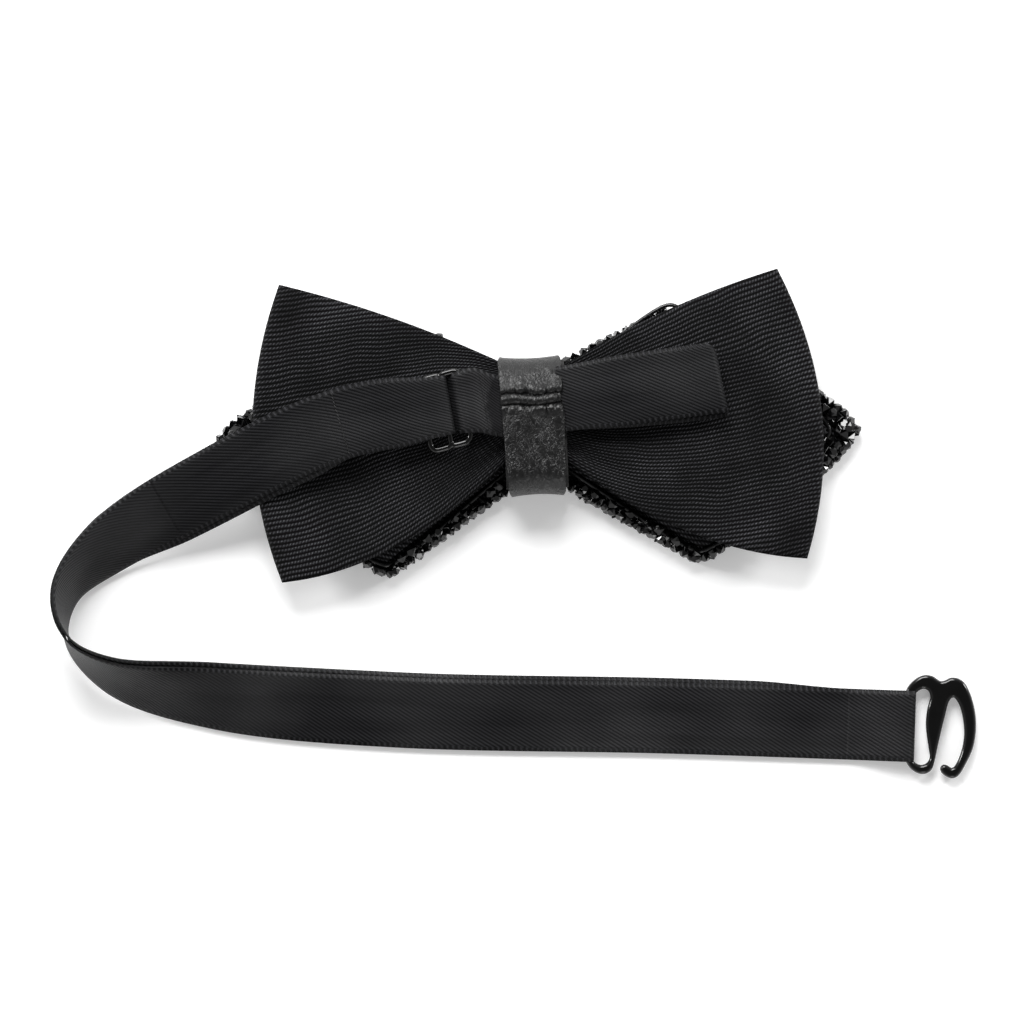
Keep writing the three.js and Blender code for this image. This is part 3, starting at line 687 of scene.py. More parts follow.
def make_neck_ribbon():
    root_start, hinge_start, hinge_end, joint = -18.6, -9.8, -7.5, 60
    root_low, root_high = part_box("ribbon_root")
    knot_height = (root_low.z + root_high.z) / 2 / MM - ROUTE.frames([0.0])[0][0, 2]

    def tab_height(s):
        share = smooth((-s - SLIDER_PITCH) / (-hinge_start - SLIDER_PITCH + 1.5))
        return lerp(through_height(s), knot_height, share)

    def tab_shift(s):
        return -2.3 * smooth((-5.5 - s) / 6.5)

    s = spaced(root_start, hinge_end, 0.35)
    lay_ribbon(
        "ribbon_root_and_tab", s, tab_height(s), "back_wing_left_twill", "ribbon_root", "ribbon_tab",
        shift=tab_shift(s), bend=("bow", "strap_far", station(hinge_start), station(hinge_end)),
    )
    s = spaced(hinge_end, SLIDER_PITCH, 0.25)
    lay_ribbon(
        "ribbon_through_slider", s, tab_height(s), "slider_enamelled", shift=tab_shift(s),
        tongues=(True, False), bend=("strap_far", "slider_end", station(hinge_end), station(-SLIDER_PITCH)),
    )
    s = np.concatenate([spaced(SLIDER_PITCH, 12, 0.5), spaced(12.8, joint, 0.8)])
    lay_ribbon(
        "strap_under_from_slider", s, through_height(s), "back_wing_left_twill", shift=under_peek(s),
        tongues=(True, False), bend=("slider_end", "strap_far", station(SLIDER_PITCH + 1), station(44)),
    )
    s = spaced(FOLD_UPPER, joint, 0.6)
    settle = PLY_PITCH * lerp(1.5, 0.5, smooth((s - FOLD_UPPER) / 5.0))
    lay_ribbon(
        "strap_upper_from_stitch", s, settle, "strap_under_from_slider", tongues=(True, False),
        bend=("slider_end", "strap_far", station(FOLD_UPPER + 1), station(50)),
    )

    turn_x, _, turn_z = station(TURN_AT)
    opens_from = (turn_x, station(82)[1], turn_z)
    opens_to = (turn_x, station(105)[1], turn_z)
    s = spaced(joint, END - HOOK_RISE, 0.6)
    for ply, height, shift in (("under", -PLY_PITCH / 2, under_peek(s)), ("upper", PLY_PITCH / 2, peek(s))):
        lay_ribbon(
            f"strap_{ply}_bend_and_near", s, height, "table", f"strap_far_{ply}", f"strap_bend_{ply}",
            f"strap_near_{ply}", shift=shift, tongues=(True, True),
            bend=("strap_far", "strap_near", opens_from, opens_to),
        )


def make_end_fold():
    """The ribbon's sewn end: a tail, the wrap round the slider's middle bar and the upper ply."""
    tail, upper = PLY_PITCH / 2, PLY_PITCH * 1.5
    settle = SLIDER_PITCH - SLIDER_RADIUS
    stations = [(s, tail) for s in spaced(FOLD_TAIL, settle + 0.3, 0.7)]
    for angle in np.radians(np.linspace(-42, -245, 21)):
        stations.append((WRAP_RADIUS * math.cos(angle), SLIDER_HEIGHT + WRAP_RADIUS * math.sin(angle)))
    stations += [(s, upper) for s in spaced(settle, FOLD_UPPER, 0.6)]
    s, height = np.array(stations).T
    lay_ribbon(
        "strap_end_fold_satin", s, height, "slider_enamelled", "strap_end_fold", body="slider_end",
    )


def make_hook_fold():
    """Both plies meet in one fold round the hook's bar."""
    radius = HOOK_BAR / 2 + WRAP_GAP + RIBBON_THICKNESS / 2
    start = END - HOOK_RISE
    runs = spaced(start, END, 0.6)
    spread = lerp(PLY_PITCH / 2, radius, smooth((runs - start) / HOOK_RISE))
    s, height = round_turn(runs, spread, END, radius)
    lay_ribbon("strap_hook_fold_satin", s, height, "hook_enamelled", "strap_hook_fold", body="strap_near")


# ---------------------------------------------------------------- hook loop
def make_hook_loop():
    slope = math.radians(5.6)
    along = np.array([math.cos(slope), math.sin(slope), 0.0])
    across = np.array([-math.sin(slope), math.cos(slope), 0.0])
    low, high = box_mm("hook_loop")
    start = np.array([WING_START - 1.6, 4.85, (low.z + high.z) / 2])
    half = (high.z - low.z - RIBBON_THICKNESS) / 2 + 0.15
    reach = 32.9 - half
    runs = np.linspace(0, reach, 54)
    opening = lerp(PLY_PITCH / 2, half, smooth(runs / reach * 1.4))
    distance, height = round_turn(runs, opening, reach, half)
    travel = np.concatenate([[0], np.cumsum(np.hypot(np.diff(distance), np.diff(height)))])
    v = np.linspace(-0.5, 0.5, 15)
    lower = np.arange(len(distance)) >= len(distance) // 2
    out, rise = distance[:, None], height[:, None]
    slip = -0.9 * lower[:, None] * np.clip((out - 4) / 20, 0, 1)
    side = v * (RIBBON_WIDTH - 1.2 * bell(out, 9.0)) + slip
    rounding = 0.9 * (v + 0.5) + 1.3 * np.maximum(0.0, (v - 0.36) / 0.14) ** 2
    out = out - rounding * smooth((out - reach + 9) / 9)
    cup = 0.14 * 4 * v**2 * np.sign(rise + 1e-6)
    grid = as_grid(*[start[k] + along[k] * out + across[k] * side for k in (0, 1)], start[2] + rise - cup)
    pattern = cloth_marks(grid.shape, travel[:, None], v * RIBBON_WIDTH, RIBBON_WIDTH / 2)
    loop = cloth("hook_loop_satin", grid, pattern, RIBBON_CLOTH)
    dress(loop, satin_weave(), None, "satin_ribbon", "hook_loop")
    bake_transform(loop)


# ---------------------------------------------------------------- back wings
def make_back_wing(wing, node):
    """One folded wing, and its length before folding."""
    low, high = box_mm(node)
    middle = (low.z + high.z) / 2
    full = (high.z - low.z) / 2 - 0.35
    flat_share = 0.965
    runs = np.linspace(0.0, flat_share, 66)

    def half_gap(s):
        return full * lerp(0.58, 1.0, smooth(s * 2)) * lerp(1.0, 0.72, smooth((s - 0.55) / 0.45))

    turn = np.linspace(0, math.pi, 13)[1:-1]
    s = np.concatenate([runs, flat_share + (1 - flat_share) * np.sin(turn), runs[::-1]])
    rise = np.concatenate([half_gap(runs), half_gap(flat_share) * np.cos(turn), -half_gap(runs[::-1])])
    s, rise = s[:, None], rise[:, None]
    face = np.sign(rise + 1e-6)
    v = np.linspace(0, 1, 61)
    x, y = wing.plan(s + lerp(-0.06, 0.0, smooth(s / 0.12)), v)
    crown = 4 * v * (1 - v)
    pleat = 0.42 * (1 - smooth(s / 0.5)) * np.sin(2 * math.pi * (4.0 * v + 0.12)) * face
    rolled_edge = -0.9 * (bell(v - 1.0, 0.035) + bell(v, 0.035)) * 0.35 * face * np.abs(rise) / full
    soft = 0.22 * np.sin(3.1 * s + 5.0 * v + wing.side) * np.sin(math.pi * s)
    z = middle + rise * lerp(0.74, 1.0, crown**0.5) + pleat + soft * 0.6 + rolled_edge
    grid = as_grid(x, y, z)
    pattern = cloth_marks(grid.shape, s * 50.0, (v - 0.5) * lerp(42.0, 58.0, s) * -wing.side)
    obj = cloth(f"{node}_twill", grid, pattern, 0.55)
    dress(obj, twill_weave(), "bow", "twill_cloth", node)
    return obj, 2 * (abs(wing.bottom[0]) + wing.outer_bulge - KNOT_HALF_WIDTH + 3.0)


def make_back_wings():
    height_at_end, mean_height = 60.0, 43.0
    for wing, node in ((LEFT_WING, "back_wing_left"), (RIGHT_WING, "back_wing_right")):
        obj, length = make_back_wing(wing, node)
        area = mean_height * length * MM * MM * 0.97
        length * MM
    for node in ("interlining_left", "interlining_right", "knot_core"):
        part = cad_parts[node]
        part.data.materials.clear()
        part.data.materials.append(canvas_weave())


# ---------------------------------------------------------------- front layer and stones
@dataclass
class Diamond:
    """One pointed front wing, seen from above."""
    side: int
    top: tuple
    bottom: tuple
    tip: tuple
    top_edge: float         # how far the stones' upper edge is moved out
    top_cloth: float        # how far the cloth reaches past its usual upper edge
    loose: tuple            # a stone that shows over the back wing's edge, if any

    def outline(self, grow, tip_grow, root_grow, top_grow):
        (top_x, top_y), (low_x, low_y), (tip_x, tip_y) = self.top, self.bottom, self.tip
        root = 12.6 + root_grow
        points = [
            (WING_START - 1.0, -root),
            (low_x - grow * 0.4, low_y - grow),
            (low_x + 3, low_y + 0.6 - grow),
            ((low_x + tip_x) / 2 + 4, (low_y + tip_y) / 2 - 0.6 - grow),
            (tip_x - 4 + tip_grow, tip_y - 5.4),
            (tip_x + tip_grow, tip_y),
            (tip_x - 3.4 + tip_grow, tip_y + 4.6),
            ((top_x + tip_x) / 2 + 3, (top_y + tip_y) / 2 + 1 + grow),
            (top_x + 3, top_y - 0.6 + top_grow),
            (top_x - grow * 0.4, top_y + top_grow),
            (WING_START - 1.0, root + min(self.top_edge, 0)),
        ]
        return np.array([(self.side * x, y) for x, y in points])

    def stone_outline(self, grow):
        return self.outline(grow, grow, grow, grow + self.top_edge)

    def cloth_outline(self, grow=0.0):
        return self.outline(
            grow - CLOTH_INSET, grow - CLOTH_TIP_INSET, grow - CLOTH_ROOT_INSET,
            grow - CLOTH_INSET + self.top_cloth,
        )


CLOTH_INSET, CLOTH_TIP_INSET, CLOTH_ROOT_INSET = 2.6, 6.6, 4.6
PIPING_RADIUS = 0.42
LEFT_DIAMOND = Diamond(-1, (27, 20.6), (29.6, -28.7), (64.4, -2.0), -1.9, 0.0, (-18.7, 18.2))
RIGHT_DIAMOND = Diamond(1, (26.6, 22.2), (31, -28.3), (64.6, -3.4), -0.4, 2.5, None)


def edge_distance(point, outline):
    """How far a point is inside the outline, in mm."""
    nearest, inside = 1e9, False
    for a, b in zip(outline, np.roll(outline, -1, axis=0)):
        span = b - a
        t = np.clip(np.dot(point - a, span) / np.dot(span, span), 0, 1)
        nearest = min(nearest, float(np.hypot(*(a + span * t - point))))
        if (a[1] > point[1]) != (b[1] > point[1]):
            if point[0] < (b[0] - a[0]) * (point[1] - a[1]) / (b[1] - a[1]) + a[0]:
                inside = not inside
    return nearest if inside else -nearest


def cut_stone(points, faces, centre, size, axis, spin, rng):
    """Adds one stone: a pointed pyramid or a table with a crown of facets, on a pointed back."""
    pointed = rng.random() < 0.55
    sides = rng.choice((3, 4)) if pointed else rng.choice((5, 6))
    turn = Vector(axis).normalized().to_track_quat("Z", "Y").to_matrix()
    start = len(points)
    rings = ((0.05, 0.95), (1.0, 0.1), (0.9, -0.2)) if pointed else ((0.55, 0.5), (1.0, 0.1), (0.95, -0.12))
    for radius, height in rings:
        for k in range(sides):
            angle = spin + 2 * math.pi * (k + (0.5 if radius < 0.6 else 0.0)) / sides
            reach = radius * (1 + rng.uniform(-0.06, 0.06))
            local = Vector((math.cos(angle) * reach, math.sin(angle) * reach, height))
            points.append(Vector(centre) + turn @ (local * size))
    points.append(Vector(centre) + turn @ Vector((0, 0, -0.7 * size)))
    faces.append(tuple(start + k for k in range(sides)))
    top, girdle, low, foot = start, start + sides, start + 2 * sides, start + 3 * sides
    for k in range(sides):
        turned = (k + 1) % sides
        faces.append((top + k, girdle + k, girdle + turned))
        faces.append((top + k, girdle + turned, top + turned))
        faces.append((girdle + k, low + k, low + turned, girdle + turned))
        faces.append((low + k, foot, low + turned))


# Rows of stones round the rim: depth in from the edge, height, outward lean and size.
RIM_ROWS = (
    (0.75, 1.3, 1.7, 0.95), (0.85, 2.7, 0.9, 0.9), (2.2, 2.9, 0.4, 1.05), (3.6, 2.9, 0.1, 1.1),
    (4.9, 2.7, 0.0, 1.1),
)


def make_stones(diamond, node, name, seed):
    """Stones over the front face, and tight rows of them round the rim, past the cloth."""
    rng = random.Random(seed)
    low, high = box_mm(node)
    outline = diamond.stone_outline(0.7)
    cloth_edge = diamond.cloth_outline(0.9)
    pitch = settings().stone_size / MM
    row_step, packing, first_height = 0.866, 0.86, 1.15
    points, faces = [], []
    row = 0
    y = low.y
    while y < high.y + pitch:
        x = low.x - pitch + (pitch / 2 if row % 2 else 0)
        while x < high.x + pitch:
            place = np.array([x + rng.uniform(-0.2, 0.2), y + rng.uniform(-0.2, 0.2)])
            if edge_distance(place, outline) > 1.0:
                lean = Vector((rng.uniform(-0.2, 0.2), rng.uniform(-0.2, 0.2), -1.0))
                size = pitch / 2 * rng.uniform(0.9, 1.15)
                cut_stone(points, faces, (*place, first_height), size, lean, rng.uniform(0, 6), rng)
            x += pitch
        y += pitch * row_step
        row += 1
    border = np.vstack([outline, outline[:1]])
    for depth, height, outward, share in RIM_ROWS:
        for a, b in zip(border[:-1], border[1:]):
            span = float(np.hypot(*(b - a)))
            if max(abs(a[0]), abs(b[0])) < WING_START:
                continue
            normal = np.array([b[1] - a[1], a[0] - b[0]]) / max(span, 1e-6) * diamond.side
            count = max(1, int(round(span / (pitch * packing * share))))
            for k in range(count):
                place = a + (b - a) * ((k + 0.5 + rng.uniform(-0.12, 0.12)) / count)
                place = place - normal * (depth + rng.uniform(-0.12, 0.12))
                if edge_distance(place, outline) < depth - 0.35:
                    continue
                if depth > 1 and edge_distance(place, cloth_edge) > -0.3:
                    continue
                size = pitch / 2 * share * rng.uniform(0.9, 1.1)
                lean = Vector((*normal * outward, 1.0))
                lean += Vector((rng.uniform(-0.45, 0.45), rng.uniform(-0.45, 0.45), 0.0))
                rise = height + rng.uniform(-0.2, 0.2)
                cut_stone(points, faces, (*place, rise), size, lean, rng.uniform(0, 6), rng)
    if diamond.loose:
        cut_stone(points, faces, (*diamond.loose, 3.0), pitch * 0.5, (-0.3, 0.9, 0.8), 0.4, rng)
    points = np.array([tuple(p) for p in points])
    points[:, 2] = np.maximum(points[:, 2], 0.02)
    obj = mesh_object(name, points, faces, flat=True)
    face_outward(obj)
    return dress(obj, jet_stone(), "bow", "black_stones", node)


def pointed_cloth(diamond, outline, middle, thickness, relief, name):
    """A sheet of cloth with a pointed wing's outline, lightly puffed and pleated at the knot."""
    x = outline[:, 0] * diamond.side
    tip = int(np.argmax(x))
    reach = np.linspace(x[0], x[tip] - 0.05, 70)
    low = np.interp(reach, x[:tip + 1], outline[:tip + 1, 1])
    top = np.interp(reach, x[tip:][::-1], outline[tip:, 1][::-1])
    v = np.linspace(0, 1, 41)
    out = reach[:, None]
    y = lerp(low[:, None], top[:, None], v)
    pleat = (1 - smooth((out - 6) / 20)) * np.sin(2 * math.pi * 3.0 * v)
    grid = as_grid(diamond.side * out, y, middle + relief * (np.sin(math.pi * v) + pleat))
    obj = cloth(name, grid, cloth_marks(grid.shape, out, y * diamond.side), thickness)
    return obj


def make_stone_backing(diamond, name):
    """The black cloth that the stones are set on."""
    height, thickness, relief = 1.95, 0.5, 0.0
    outline = diamond.stone_outline(-0.5)
    backing = pointed_cloth(diamond, outline, height, thickness, relief, name)
    dress(backing, twill_weave(), "bow", "twill_cloth")


def make_front_wing(diamond, node):
    low, high = box_mm(node)
    height, thickness, relief = (low.z + high.z) / 2, 1.1, 0.25
    outline = diamond.cloth_outline()
    wing = pointed_cloth(diamond, outline, height, thickness, relief, f"{node}_twill")
    dress(wing, twill_weave(), "bow", "twill_cloth", node)


def make_piping(diamond, node):
    low, high = box_mm(node)
    z = (low.z + high.z) / 2
    path = curve_through([(x, y, z) for x, y in diamond.cloth_outline(0.75)], 220)
    dress(wire(f"{node}_satin", path, PIPING_RADIUS, 10), smooth_piping(), "bow", "satin_ribbon", node)


def make_front_layer():
    for diamond, side, seed in ((LEFT_DIAMOND, "left", 11), (RIGHT_DIAMOND, "right", 23)):
        stones = f"stones_{side}"
        make_stones(diamond, f"stone_sheet_{side}", stones, seed)
        make_stone_backing(diamond, f"stone_backing_{side}")
        make_front_wing(diamond, f"front_wing_{side}")
        make_piping(diamond, f"piping_{side}")


# ---------------------------------------------------------------- knot
SEAM_Y = 5.2
HAND_THREAD, MACHINE_THREAD = 0.16, 0.11     # radii


def knot_path(count, inset):
    """Points round the band, seen from its end: (y, z), starting at the seam side of its back."""
    half_height = KNOT_HALF_HEIGHT - inset
    half_depth = (KNOT_HIGH.z - KNOT_LOW.z) / 2 - inset
    radius = 4.4 - inset
    y, z = half_height - radius, half_depth - radius
    ring = arcs([(y, z, radius, 0), (-y, z, radius, 90), (-y, -z, radius, 180), (y, -z, radius, 270)], 24)
    points = np.array(ring) + (0.0, (KNOT_HIGH.z + KNOT_LOW.z) / 2)
    reach = np.concatenate([[0], np.cumsum(np.hypot(*np.diff(points, axis=0).T))])
    wanted = np.linspace(0, reach[-1], count, endpoint=False)
    return np.interp(wanted, reach, points[:, 0]), np.interp(wanted, reach, points[:, 1]), wanted


# Places across the band where the stitches gather it, and how strong each gather is.
GATHERS = ((-4.9, 0.6), (-2.7, 1.0), (0.2, 0.55), (2.5, 1.0), (4.6, 0.6))


def gather_folds(x, from_seam, count):
    """Folds that fan out from each gather, on both sides of the seam."""
    folds = 0.0
    for k, (place, strength) in enumerate(GATHERS):
        away = np.abs(from_seam) + 1.3
        turn = np.arctan2(x - place, away)
        near = bell(np.hypot(x - place, away - 1.3), 4.6) * smooth((np.abs(from_seam) - 0.8) / 1.2)
        folds = folds + strength * np.sin(count * turn + 1.7 * k) * near
    return folds


def make_knot():
    thickness = 1.1
    y, z, travel = [row[:, None] for row in knot_path(300, thickness / 2)]
    share = np.linspace(-0.5, 0.5, 61)
    back = z > (KNOT_HIGH.z + KNOT_LOW.z) / 2
    rounding = 0.55 * bell(np.abs(y) - KNOT_HALF_HEIGHT, 0.8)
    from_seam = y - SEAM_Y
    left = -6.25 - 0.75 * y / KNOT_HALF_HEIGHT + rounding
    right = 5.5 - 0.3 * bell(from_seam, 2.5) + 0.15 * bell(y + 1.0, 4.0) - rounding
    x = lerp(left, right, share + 0.5)
    wander = 0.22 * np.sin(share * 8.0 + 0.6)
    gaps = bell(from_seam - 1.25 + wander, 0.4) + 1.1 * bell(from_seam + 0.95 + wander, 0.4)
    beads = sum(bell(x - place, 0.5) for place, _ in GATHERS)
    roll = (0.75 - 0.5 * beads + 0.15 * np.sin(2.3 * x + 1.0)) * bell(from_seam - 0.1 + wander, 0.75)
    lips = 0.3 * bell(from_seam - 2.4, 0.8) + 0.35 * bell(from_seam + 2.1, 0.9)
    creases = 0.5 * gather_folds(x, from_seam, 6.0) + 0.22 * gather_folds(x, from_seam, 13.0)
    slope = -3.1 * smooth((from_seam - 0.8) / 8.2) - 1.1 * smooth((-y - 9.0) / 5.5)
    relief = (roll - 0.95 * gaps + lips + creases) * bell(np.maximum(np.abs(y) - 9.5, 0), 1.8)
    push = np.where(back, relief + slope, 0.10 * np.sin(2.2 * x + 0.2 * y))
    rim = -0.35 * (2 * np.abs(share)) ** 10
    arch = (1 - 0.03 * (1 - (2 * share) ** 2)) * np.where(y > 0, 0.965, 1.005)
    grid = as_grid(x, y * arch, z + np.where(back, 1, -1) * (push * 0.8 + rim))
    grid[..., 2] = np.maximum(grid[..., 2], thickness / 2 + 0.02)
    pattern = cloth_marks(grid.shape, travel, x)
    band = cloth("knot_band_leather", grid, pattern, thickness, loop=True, crisp=False)
    dress(band, creased_leather(), "bow", "knot_leather", "knot_band")


def make_seam_stitches():
    """Short hand stitches that gather the band along its seam."""
    top = KNOT_HIGH.z
    rng = random.Random(5)
    parts = []
    for i in range(7):
        x = -4.6 + 9.0 * i / 6 + rng.uniform(-0.3, 0.3)
        lean = rng.uniform(-0.5, 0.5)
        path = []
        for t in np.linspace(-1, 1, 9):
            rise = 0.25 - 0.55 * t * t
            path.append((x + lean * t, SEAM_Y + 0.95 * t, top - 0.15 + rise))
        parts.append(wire(f"stitch_{i}", path, HAND_THREAD, 8))
    dress(join("knot_seam_thread", parts), spun_thread(), "bow", "sewing_thread", "knot_seam_stitch")


def make_end_stitches():
    """A zigzag row that sews the folded end of the ribbon."""
    middle, along, across, off = place_at(FOLD_TAIL)
    base = PLY_PITCH * 1.5 + 0.22
    parts = []
    count = 15
    for i in range(count):
        side = lerp(-RIBBON_WIDTH / 2 + 1.0, RIBBON_WIDTH / 2 - 1.0, i / (count - 1))
        path = []
        for t in np.linspace(-1, 1, 7):
            rise = base + 0.06 - 0.14 * t * t
            path.append(middle + across * (side + 0.36 * t) + off * rise + along * (0.1 * t))
        parts.append(wire(f"end_stitch_{i}", path, MACHINE_THREAD, 6))
    dress(join("strap_end_thread", parts), spun_thread(), "slider_end", "sewing_thread", "strap_end_stitch")


# ---------------------------------------------------------------- metal
def make_slider():
    """A two-slot ladder slider of round wire, fused into one smooth casting."""
    middle, along, across, off = place_at(0.0)
    half = (RIBBON_WIDTH - 1.05) / 2 + SLIDER_RADIUS
    bar, outer, inner = SLIDER_PITCH, 1.5, 0.9
    corners = [
        (bar - outer, half - outer, outer, 0), (inner, half - inner, inner, 90),
        (inner, inner - half, inner, 180), (bar - outer, outer - half, outer, 270),
    ]
    parts = []
    for side in (-1, 1):
        path = []
        for x, y in arcs(corners, 9):
            w = SLIDER_SHIFT + y - SLIDER_SKEW * side * x
            path.append(middle + along * side * x + across * w + off * SLIDER_HEIGHT)
        parts.append(wire(f"slot_{side}", curve_through(path, 160), SLIDER_RADIUS, 16))
    slider = join("slider_enamelled", parts)
    remesh = slider.modifiers.new("fuse", "REMESH")
    remesh.mode = "VOXEL"
    remesh.voxel_size = 0.14 * MM
    soften = slider.modifiers.new("soften", "SMOOTH")
    soften.iterations = 4
    soften.factor = 0.5
    slider.data = finished_mesh(slider)
    slider.modifiers.clear()
    shade_smooth(slider.data)
    dress(slider, gloss_paint(), "slider_end", "painted_metal", "slider")


# Outline of the hook, from its bar's middle: out from the ribbon, and across it.
HOOK_OUTLINE = [
    (-0.9, 4.0), (-0.6, 7.0), (0.3, 8.6), (2.0, 10.0), (3.3, 10.4), (4.7, 10.2), (6.2, 9.3),
    (7.1, 9.4), (8.2, 10.0), (9.5, 10.0), (10.9, 9.3), (12.2, 7.2), (13.3, 3.8), (13.7, 0.3),
    (13.3, -3.6), (12.1, -6.7), (10.4, -9.6), (9.3, -10.1), (8.1, -9.8), (7.0, -8.9), (6.8, -8.0),
    (7.3, -7.4), (8.2, -7.5), (9.2, -8.0), (10.3, -6.4), (11.2, -3.0), (11.3, -0.4), (10.7, 3.1),
    (9.9, 5.1), (8.9, 6.1), (8.2, 5.4), (7.4, 2.2), (6.3, -3.2), (5.6, -7.0), (5.1, -8.5),
    (4.1, -9.3), (2.7, -9.4), (1.1, -8.6), (-0.1, -7.0), (-0.8, -4.0), (-0.9, 0.0),
]
HOOK_SLOT = [
    (3.0, 7.6), (3.9, 7.2), (4.3, 6.1), (3.8, 3.6), (3.6, 1.0), (3.8, -1.2), (4.3, -4.0),
    (4.6, -6.2), (3.9, -7.3), (2.8, -7.6), (1.6, -7.0), (1.0, -5.4), (0.85, 0.0), (1.0, 5.6),
    (1.8, 7.0),
]
HOOK_THICKNESS = 2.1


def make_hook():
    """A cast hook with softened edges: a bar and slot for the ribbon, a web and an open arm."""
    curve = bpy.data.curves.new("hook_outline", "CURVE")
    curve.dimensions = "2D"
    curve.fill_mode = "BOTH"
    for points in (HOOK_OUTLINE, HOOK_SLOT):
        ring = np.array([(x, y, 0.0) for x, y in points + points[:3]])
        smooth_ring = curve_through(ring, 30 * len(points))
        start = int(np.argmin(np.linalg.norm(smooth_ring[:60] - ring[1], axis=1)))
        gaps = np.linalg.norm(smooth_ring[len(smooth_ring) // 2:] - ring[1], axis=1)
        stop = len(smooth_ring) // 2 + int(np.argmin(gaps))
        spline = curve.splines.new("POLY")
        kept = smooth_ring[start:stop:6]
        spline.points.add(len(kept) - 1)
        for point, (x, y, _) in zip(spline.points, kept):
            point.co = (x * MM, y * MM, 0.0, 1.0)
        spline.use_cyclic_u = True
    edge = 0.75
    curve.bevel_depth = edge * MM
    curve.bevel_resolution = 4
    curve.offset = -edge * MM
    curve.extrude = (HOOK_THICKNESS / 2 - edge) * MM
    shape = place_object("hook_shape", curve)
    mesh = finished_mesh(shape)
    bpy.data.objects.remove(shape)
    middle, along, across, _ = place_at(END)
    turn = Matrix((along, across, np.cross(along, across))).transposed().to_4x4()
    mesh.transform(Matrix.Translation(Vector(middle * MM)) @ turn)
    shade_smooth(mesh)
    hook = place_object("hook_enamelled", mesh)
    work = bmesh.new()
    work.from_mesh(mesh)
    bmesh.ops.remove_doubles(work, verts=work.verts, dist=0.01 * MM)
    bmesh.ops.recalc_face_normals(work, faces=work.faces)
    sharp = math.radians(50)
    for side in work.edges:
        if len(side.link_faces) == 2 and side.calc_face_angle(0.0) > sharp:
            side.smooth = False
    work.to_mesh(mesh)
    work.free()
    dress(hook, gloss_paint(), "hook", "painted_metal", "hook")


# ---------------------------------------------------------------- stage
def make_stage():
    """A plain pale floor, soft studio light and a camera straight above."""
    scene = bpy.context.scene
    values = settings()
    bpy.ops.mesh.primitive_plane_add(size=6.0, location=(0, 0, 0))
    table = bpy.context.object
    table.name = "table"
    table.data.materials.append(matt_paper())

    world = bpy.data.worlds.new("studio")
    scene.world = world
    scene.view_settings.view_transform = "Standard"
    world.use_nodes = True
    build = Shader(world)
    upward = build.node("SeparateXYZ", build.node("TexCoord", output="Generated"), output="Z")
    dome = build.node("MapRange", upward, To_Min=values.fill_light, To_Max=values.fill_light * 0.14)
    build.fill(world.node_tree.nodes["Background"], Color=(1.0, 1.0, 1.0, 1.0), Strength=dome)

    # Each lamp's name, place, size and share of the main lamp's power.
    for name, place, size, share in (
        ("back", (-0.1, 0.8, 0.7), 0.6, 1.6),
        ("left", (-0.8, 0.3, 0.36), 0.2, 0.45),
        ("right", (0.8, 0.35, 0.36), 0.2, 0.4),
        ("front", (0.1, -0.8, 0.45), 0.3, 0.12),
    ):
        lamp = bpy.data.lights.new(name, "AREA")
        lamp.size = size
        lamp.energy = values.key_light * share
        stand = place_object(name, lamp)
        stand.location = place
        stand.rotation_euler = (Vector((0, -0.01, 0)) - Vector(place)).to_track_quat("-Z", "Y").to_euler()

    camera = bpy.data.cameras.new("overhead")
    camera.lens = 400
    camera.clip_end = 20
    camera.sensor_width = 36
    seat = place_object("overhead", camera)
    distance = values.frame_width * camera.lens / camera.sensor_width
    seat.location = (-5.3 * MM, -17.2 * MM, distance)
    seat.rotation_euler = (0, 0, math.radians(-2.25))
    scene.camera = seat


# ---------------------------------------------------------------- add-on
def length_setting(name, description, value):
    return bpy.props.FloatProperty(
        name=name, description=description, default=value * MM, unit="LENGTH",
    )


class BowTieSettings(bpy.types.PropertyGroup):
    twill_pitch: length_setting("Twill rib spacing", "Distance between the ribs of the wing cloth", 0.9)
    satin_pitch: length_setting(
        "Satin float spacing", "Distance between the diagonal floats of the ribbon", 0.62,
    )
    picot_pitch: length_setting(
        "Edge stitch spacing", "Distance between the turns of the ribbon's woven edge", 1.1,
    )
    selvedge: length_setting("Woven edge width", "Width of the ribbon's woven edge", 0.75)
    grain_size: length_setting("Leather grain size", "Size of one cell of the leather's grain", 0.45)
    stone_size: length_setting("Stone size", "Width of one cut stone", 2.4)
    frame_width: length_setting("View width", "Width of the table that the camera takes in", 204.8)
    key_light: bpy.props.FloatProperty(
        name="Key light", description="Power of the main lamp", default=9.0, unit="POWER",
    )
    fill_light: bpy.props.FloatProperty(
        name="Fill light", description="Brightness of the white surroundings", default=0.9, min=0.0,
    )


class PieceGroup:
    """What the operators share: each runs the functions that make its pieces."""

    def execute(self, context):
        for make in self.makes:
            make()
        return {"FINISHED"}


class BOWTIE_OT_stage(PieceGroup, bpy.types.Operator):
    """Makes the table, the lights and the camera"""
    bl_idname = "bowtie.stage"
    bl_label = "Stage"
    makes = (make_stage,)


class BOWTIE_OT_slider(PieceGroup, bpy.types.Operator):
    """Makes the slider"""
    bl_idname = "bowtie.slider"
    bl_label = "Slider"
    makes = (make_slider,)


class BOWTIE_OT_hook(PieceGroup, bpy.types.Operator):
    """Makes the hook"""
    bl_idname = "bowtie.hook"
    bl_label = "Hook"
    makes = (make_hook,)


class BOWTIE_OT_front_layer(PieceGroup, bpy.types.Operator):
    """Makes the pointed front wings, their piping and their stones"""
    bl_idname = "bowtie.front_layer"
    bl_label = "Front wings and stones"
    makes = (make_front_layer,)


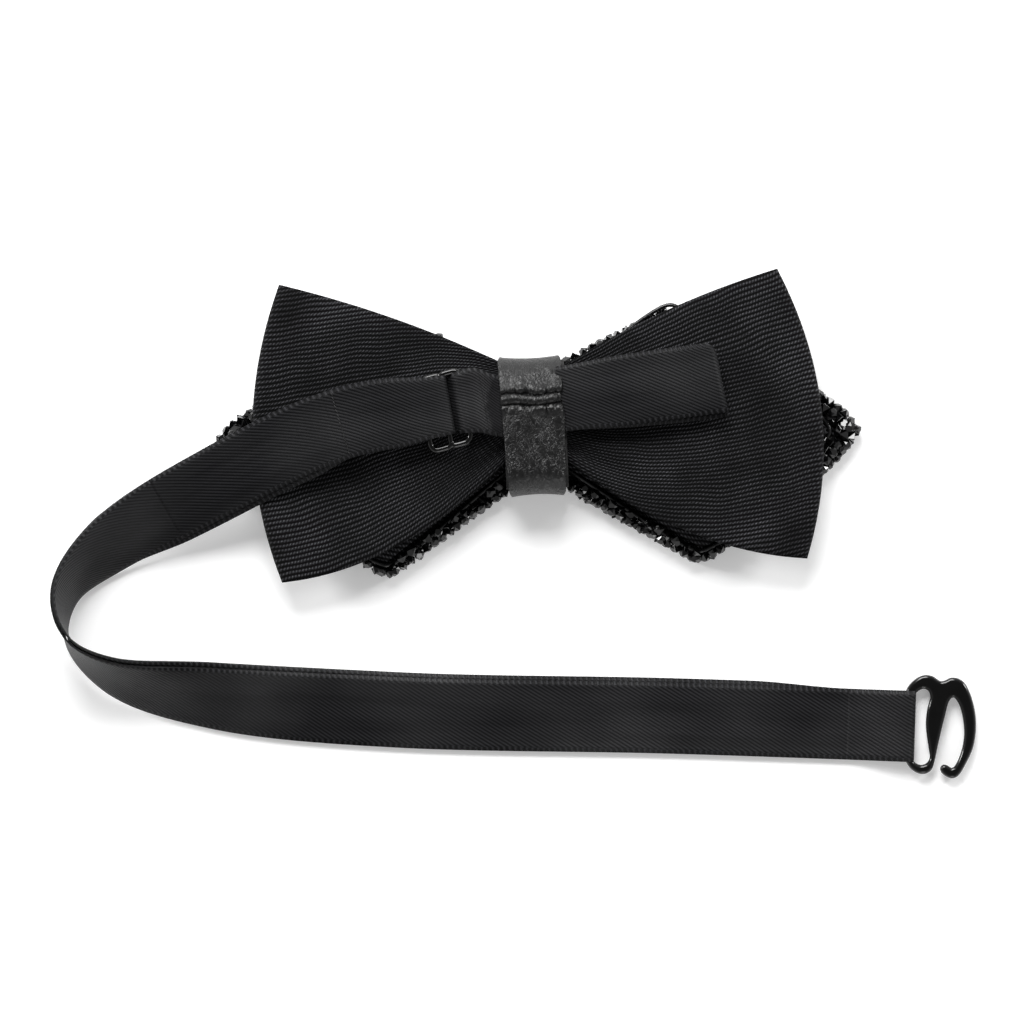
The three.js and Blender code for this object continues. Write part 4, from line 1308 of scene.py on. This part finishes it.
class BOWTIE_OT_back_wings(PieceGroup, bpy.types.Operator):
    """Makes the folded twill back wings"""
    bl_idname = "bowtie.back_wings"
    bl_label = "Back wings"
    makes = (make_back_wings,)


class BOWTIE_OT_knot(PieceGroup, bpy.types.Operator):
    """Makes the creased leather knot and its hand stitches"""
    bl_idname = "bowtie.knot"
    bl_label = "Knot"
    makes = (make_knot, make_seam_stitches)


class BOWTIE_OT_neck_ribbon(PieceGroup, bpy.types.Operator):
    """Makes the neck ribbon, its folded ends and its stitching"""
    bl_idname = "bowtie.neck_ribbon"
    bl_label = "Neck ribbon"
    makes = (make_neck_ribbon, make_end_fold, make_hook_fold, make_end_stitches)


class BOWTIE_OT_hook_loop(PieceGroup, bpy.types.Operator):
    """Makes the ribbon loop that the hook fastens to"""
    bl_idname = "bowtie.hook_loop"
    bl_label = "Hook loop"
    makes = (make_hook_loop,)


OPERATORS = (
    BOWTIE_OT_stage, BOWTIE_OT_slider, BOWTIE_OT_hook, BOWTIE_OT_front_layer, BOWTIE_OT_back_wings,
    BOWTIE_OT_knot, BOWTIE_OT_neck_ribbon, BOWTIE_OT_hook_loop,
)


class BOWTIE_PT_panel(bpy.types.Panel):
    """Lists the pieces of the bow tie"""
    bl_idname = "BOWTIE_PT_panel"
    bl_label = "Bow tie"
    bl_space_type = "VIEW_3D"
    bl_region_type = "UI"
    bl_category = "Bow tie"

    def draw(self, context):
        for name in BowTieSettings.__annotations__:
            self.layout.prop(context.scene.bow_tie, name)
        for operator in OPERATORS:
            self.layout.operator(operator.bl_idname)


CLASSES = (BowTieSettings, *OPERATORS, BOWTIE_PT_panel)


def register():
    for cls in CLASSES:
        bpy.utils.register_class(cls)
    bpy.types.Scene.bow_tie = bpy.props.PointerProperty(type=BowTieSettings)


def unregister():
    del bpy.types.Scene.bow_tie
    for cls in reversed(CLASSES):
        bpy.utils.unregister_class(cls)


def main():
    register()
    for operator in OPERATORS:
        group, name = operator.bl_idname.split(".")
        getattr(getattr(bpy.ops, group), name)()


if __name__ == "__main__":
    main()
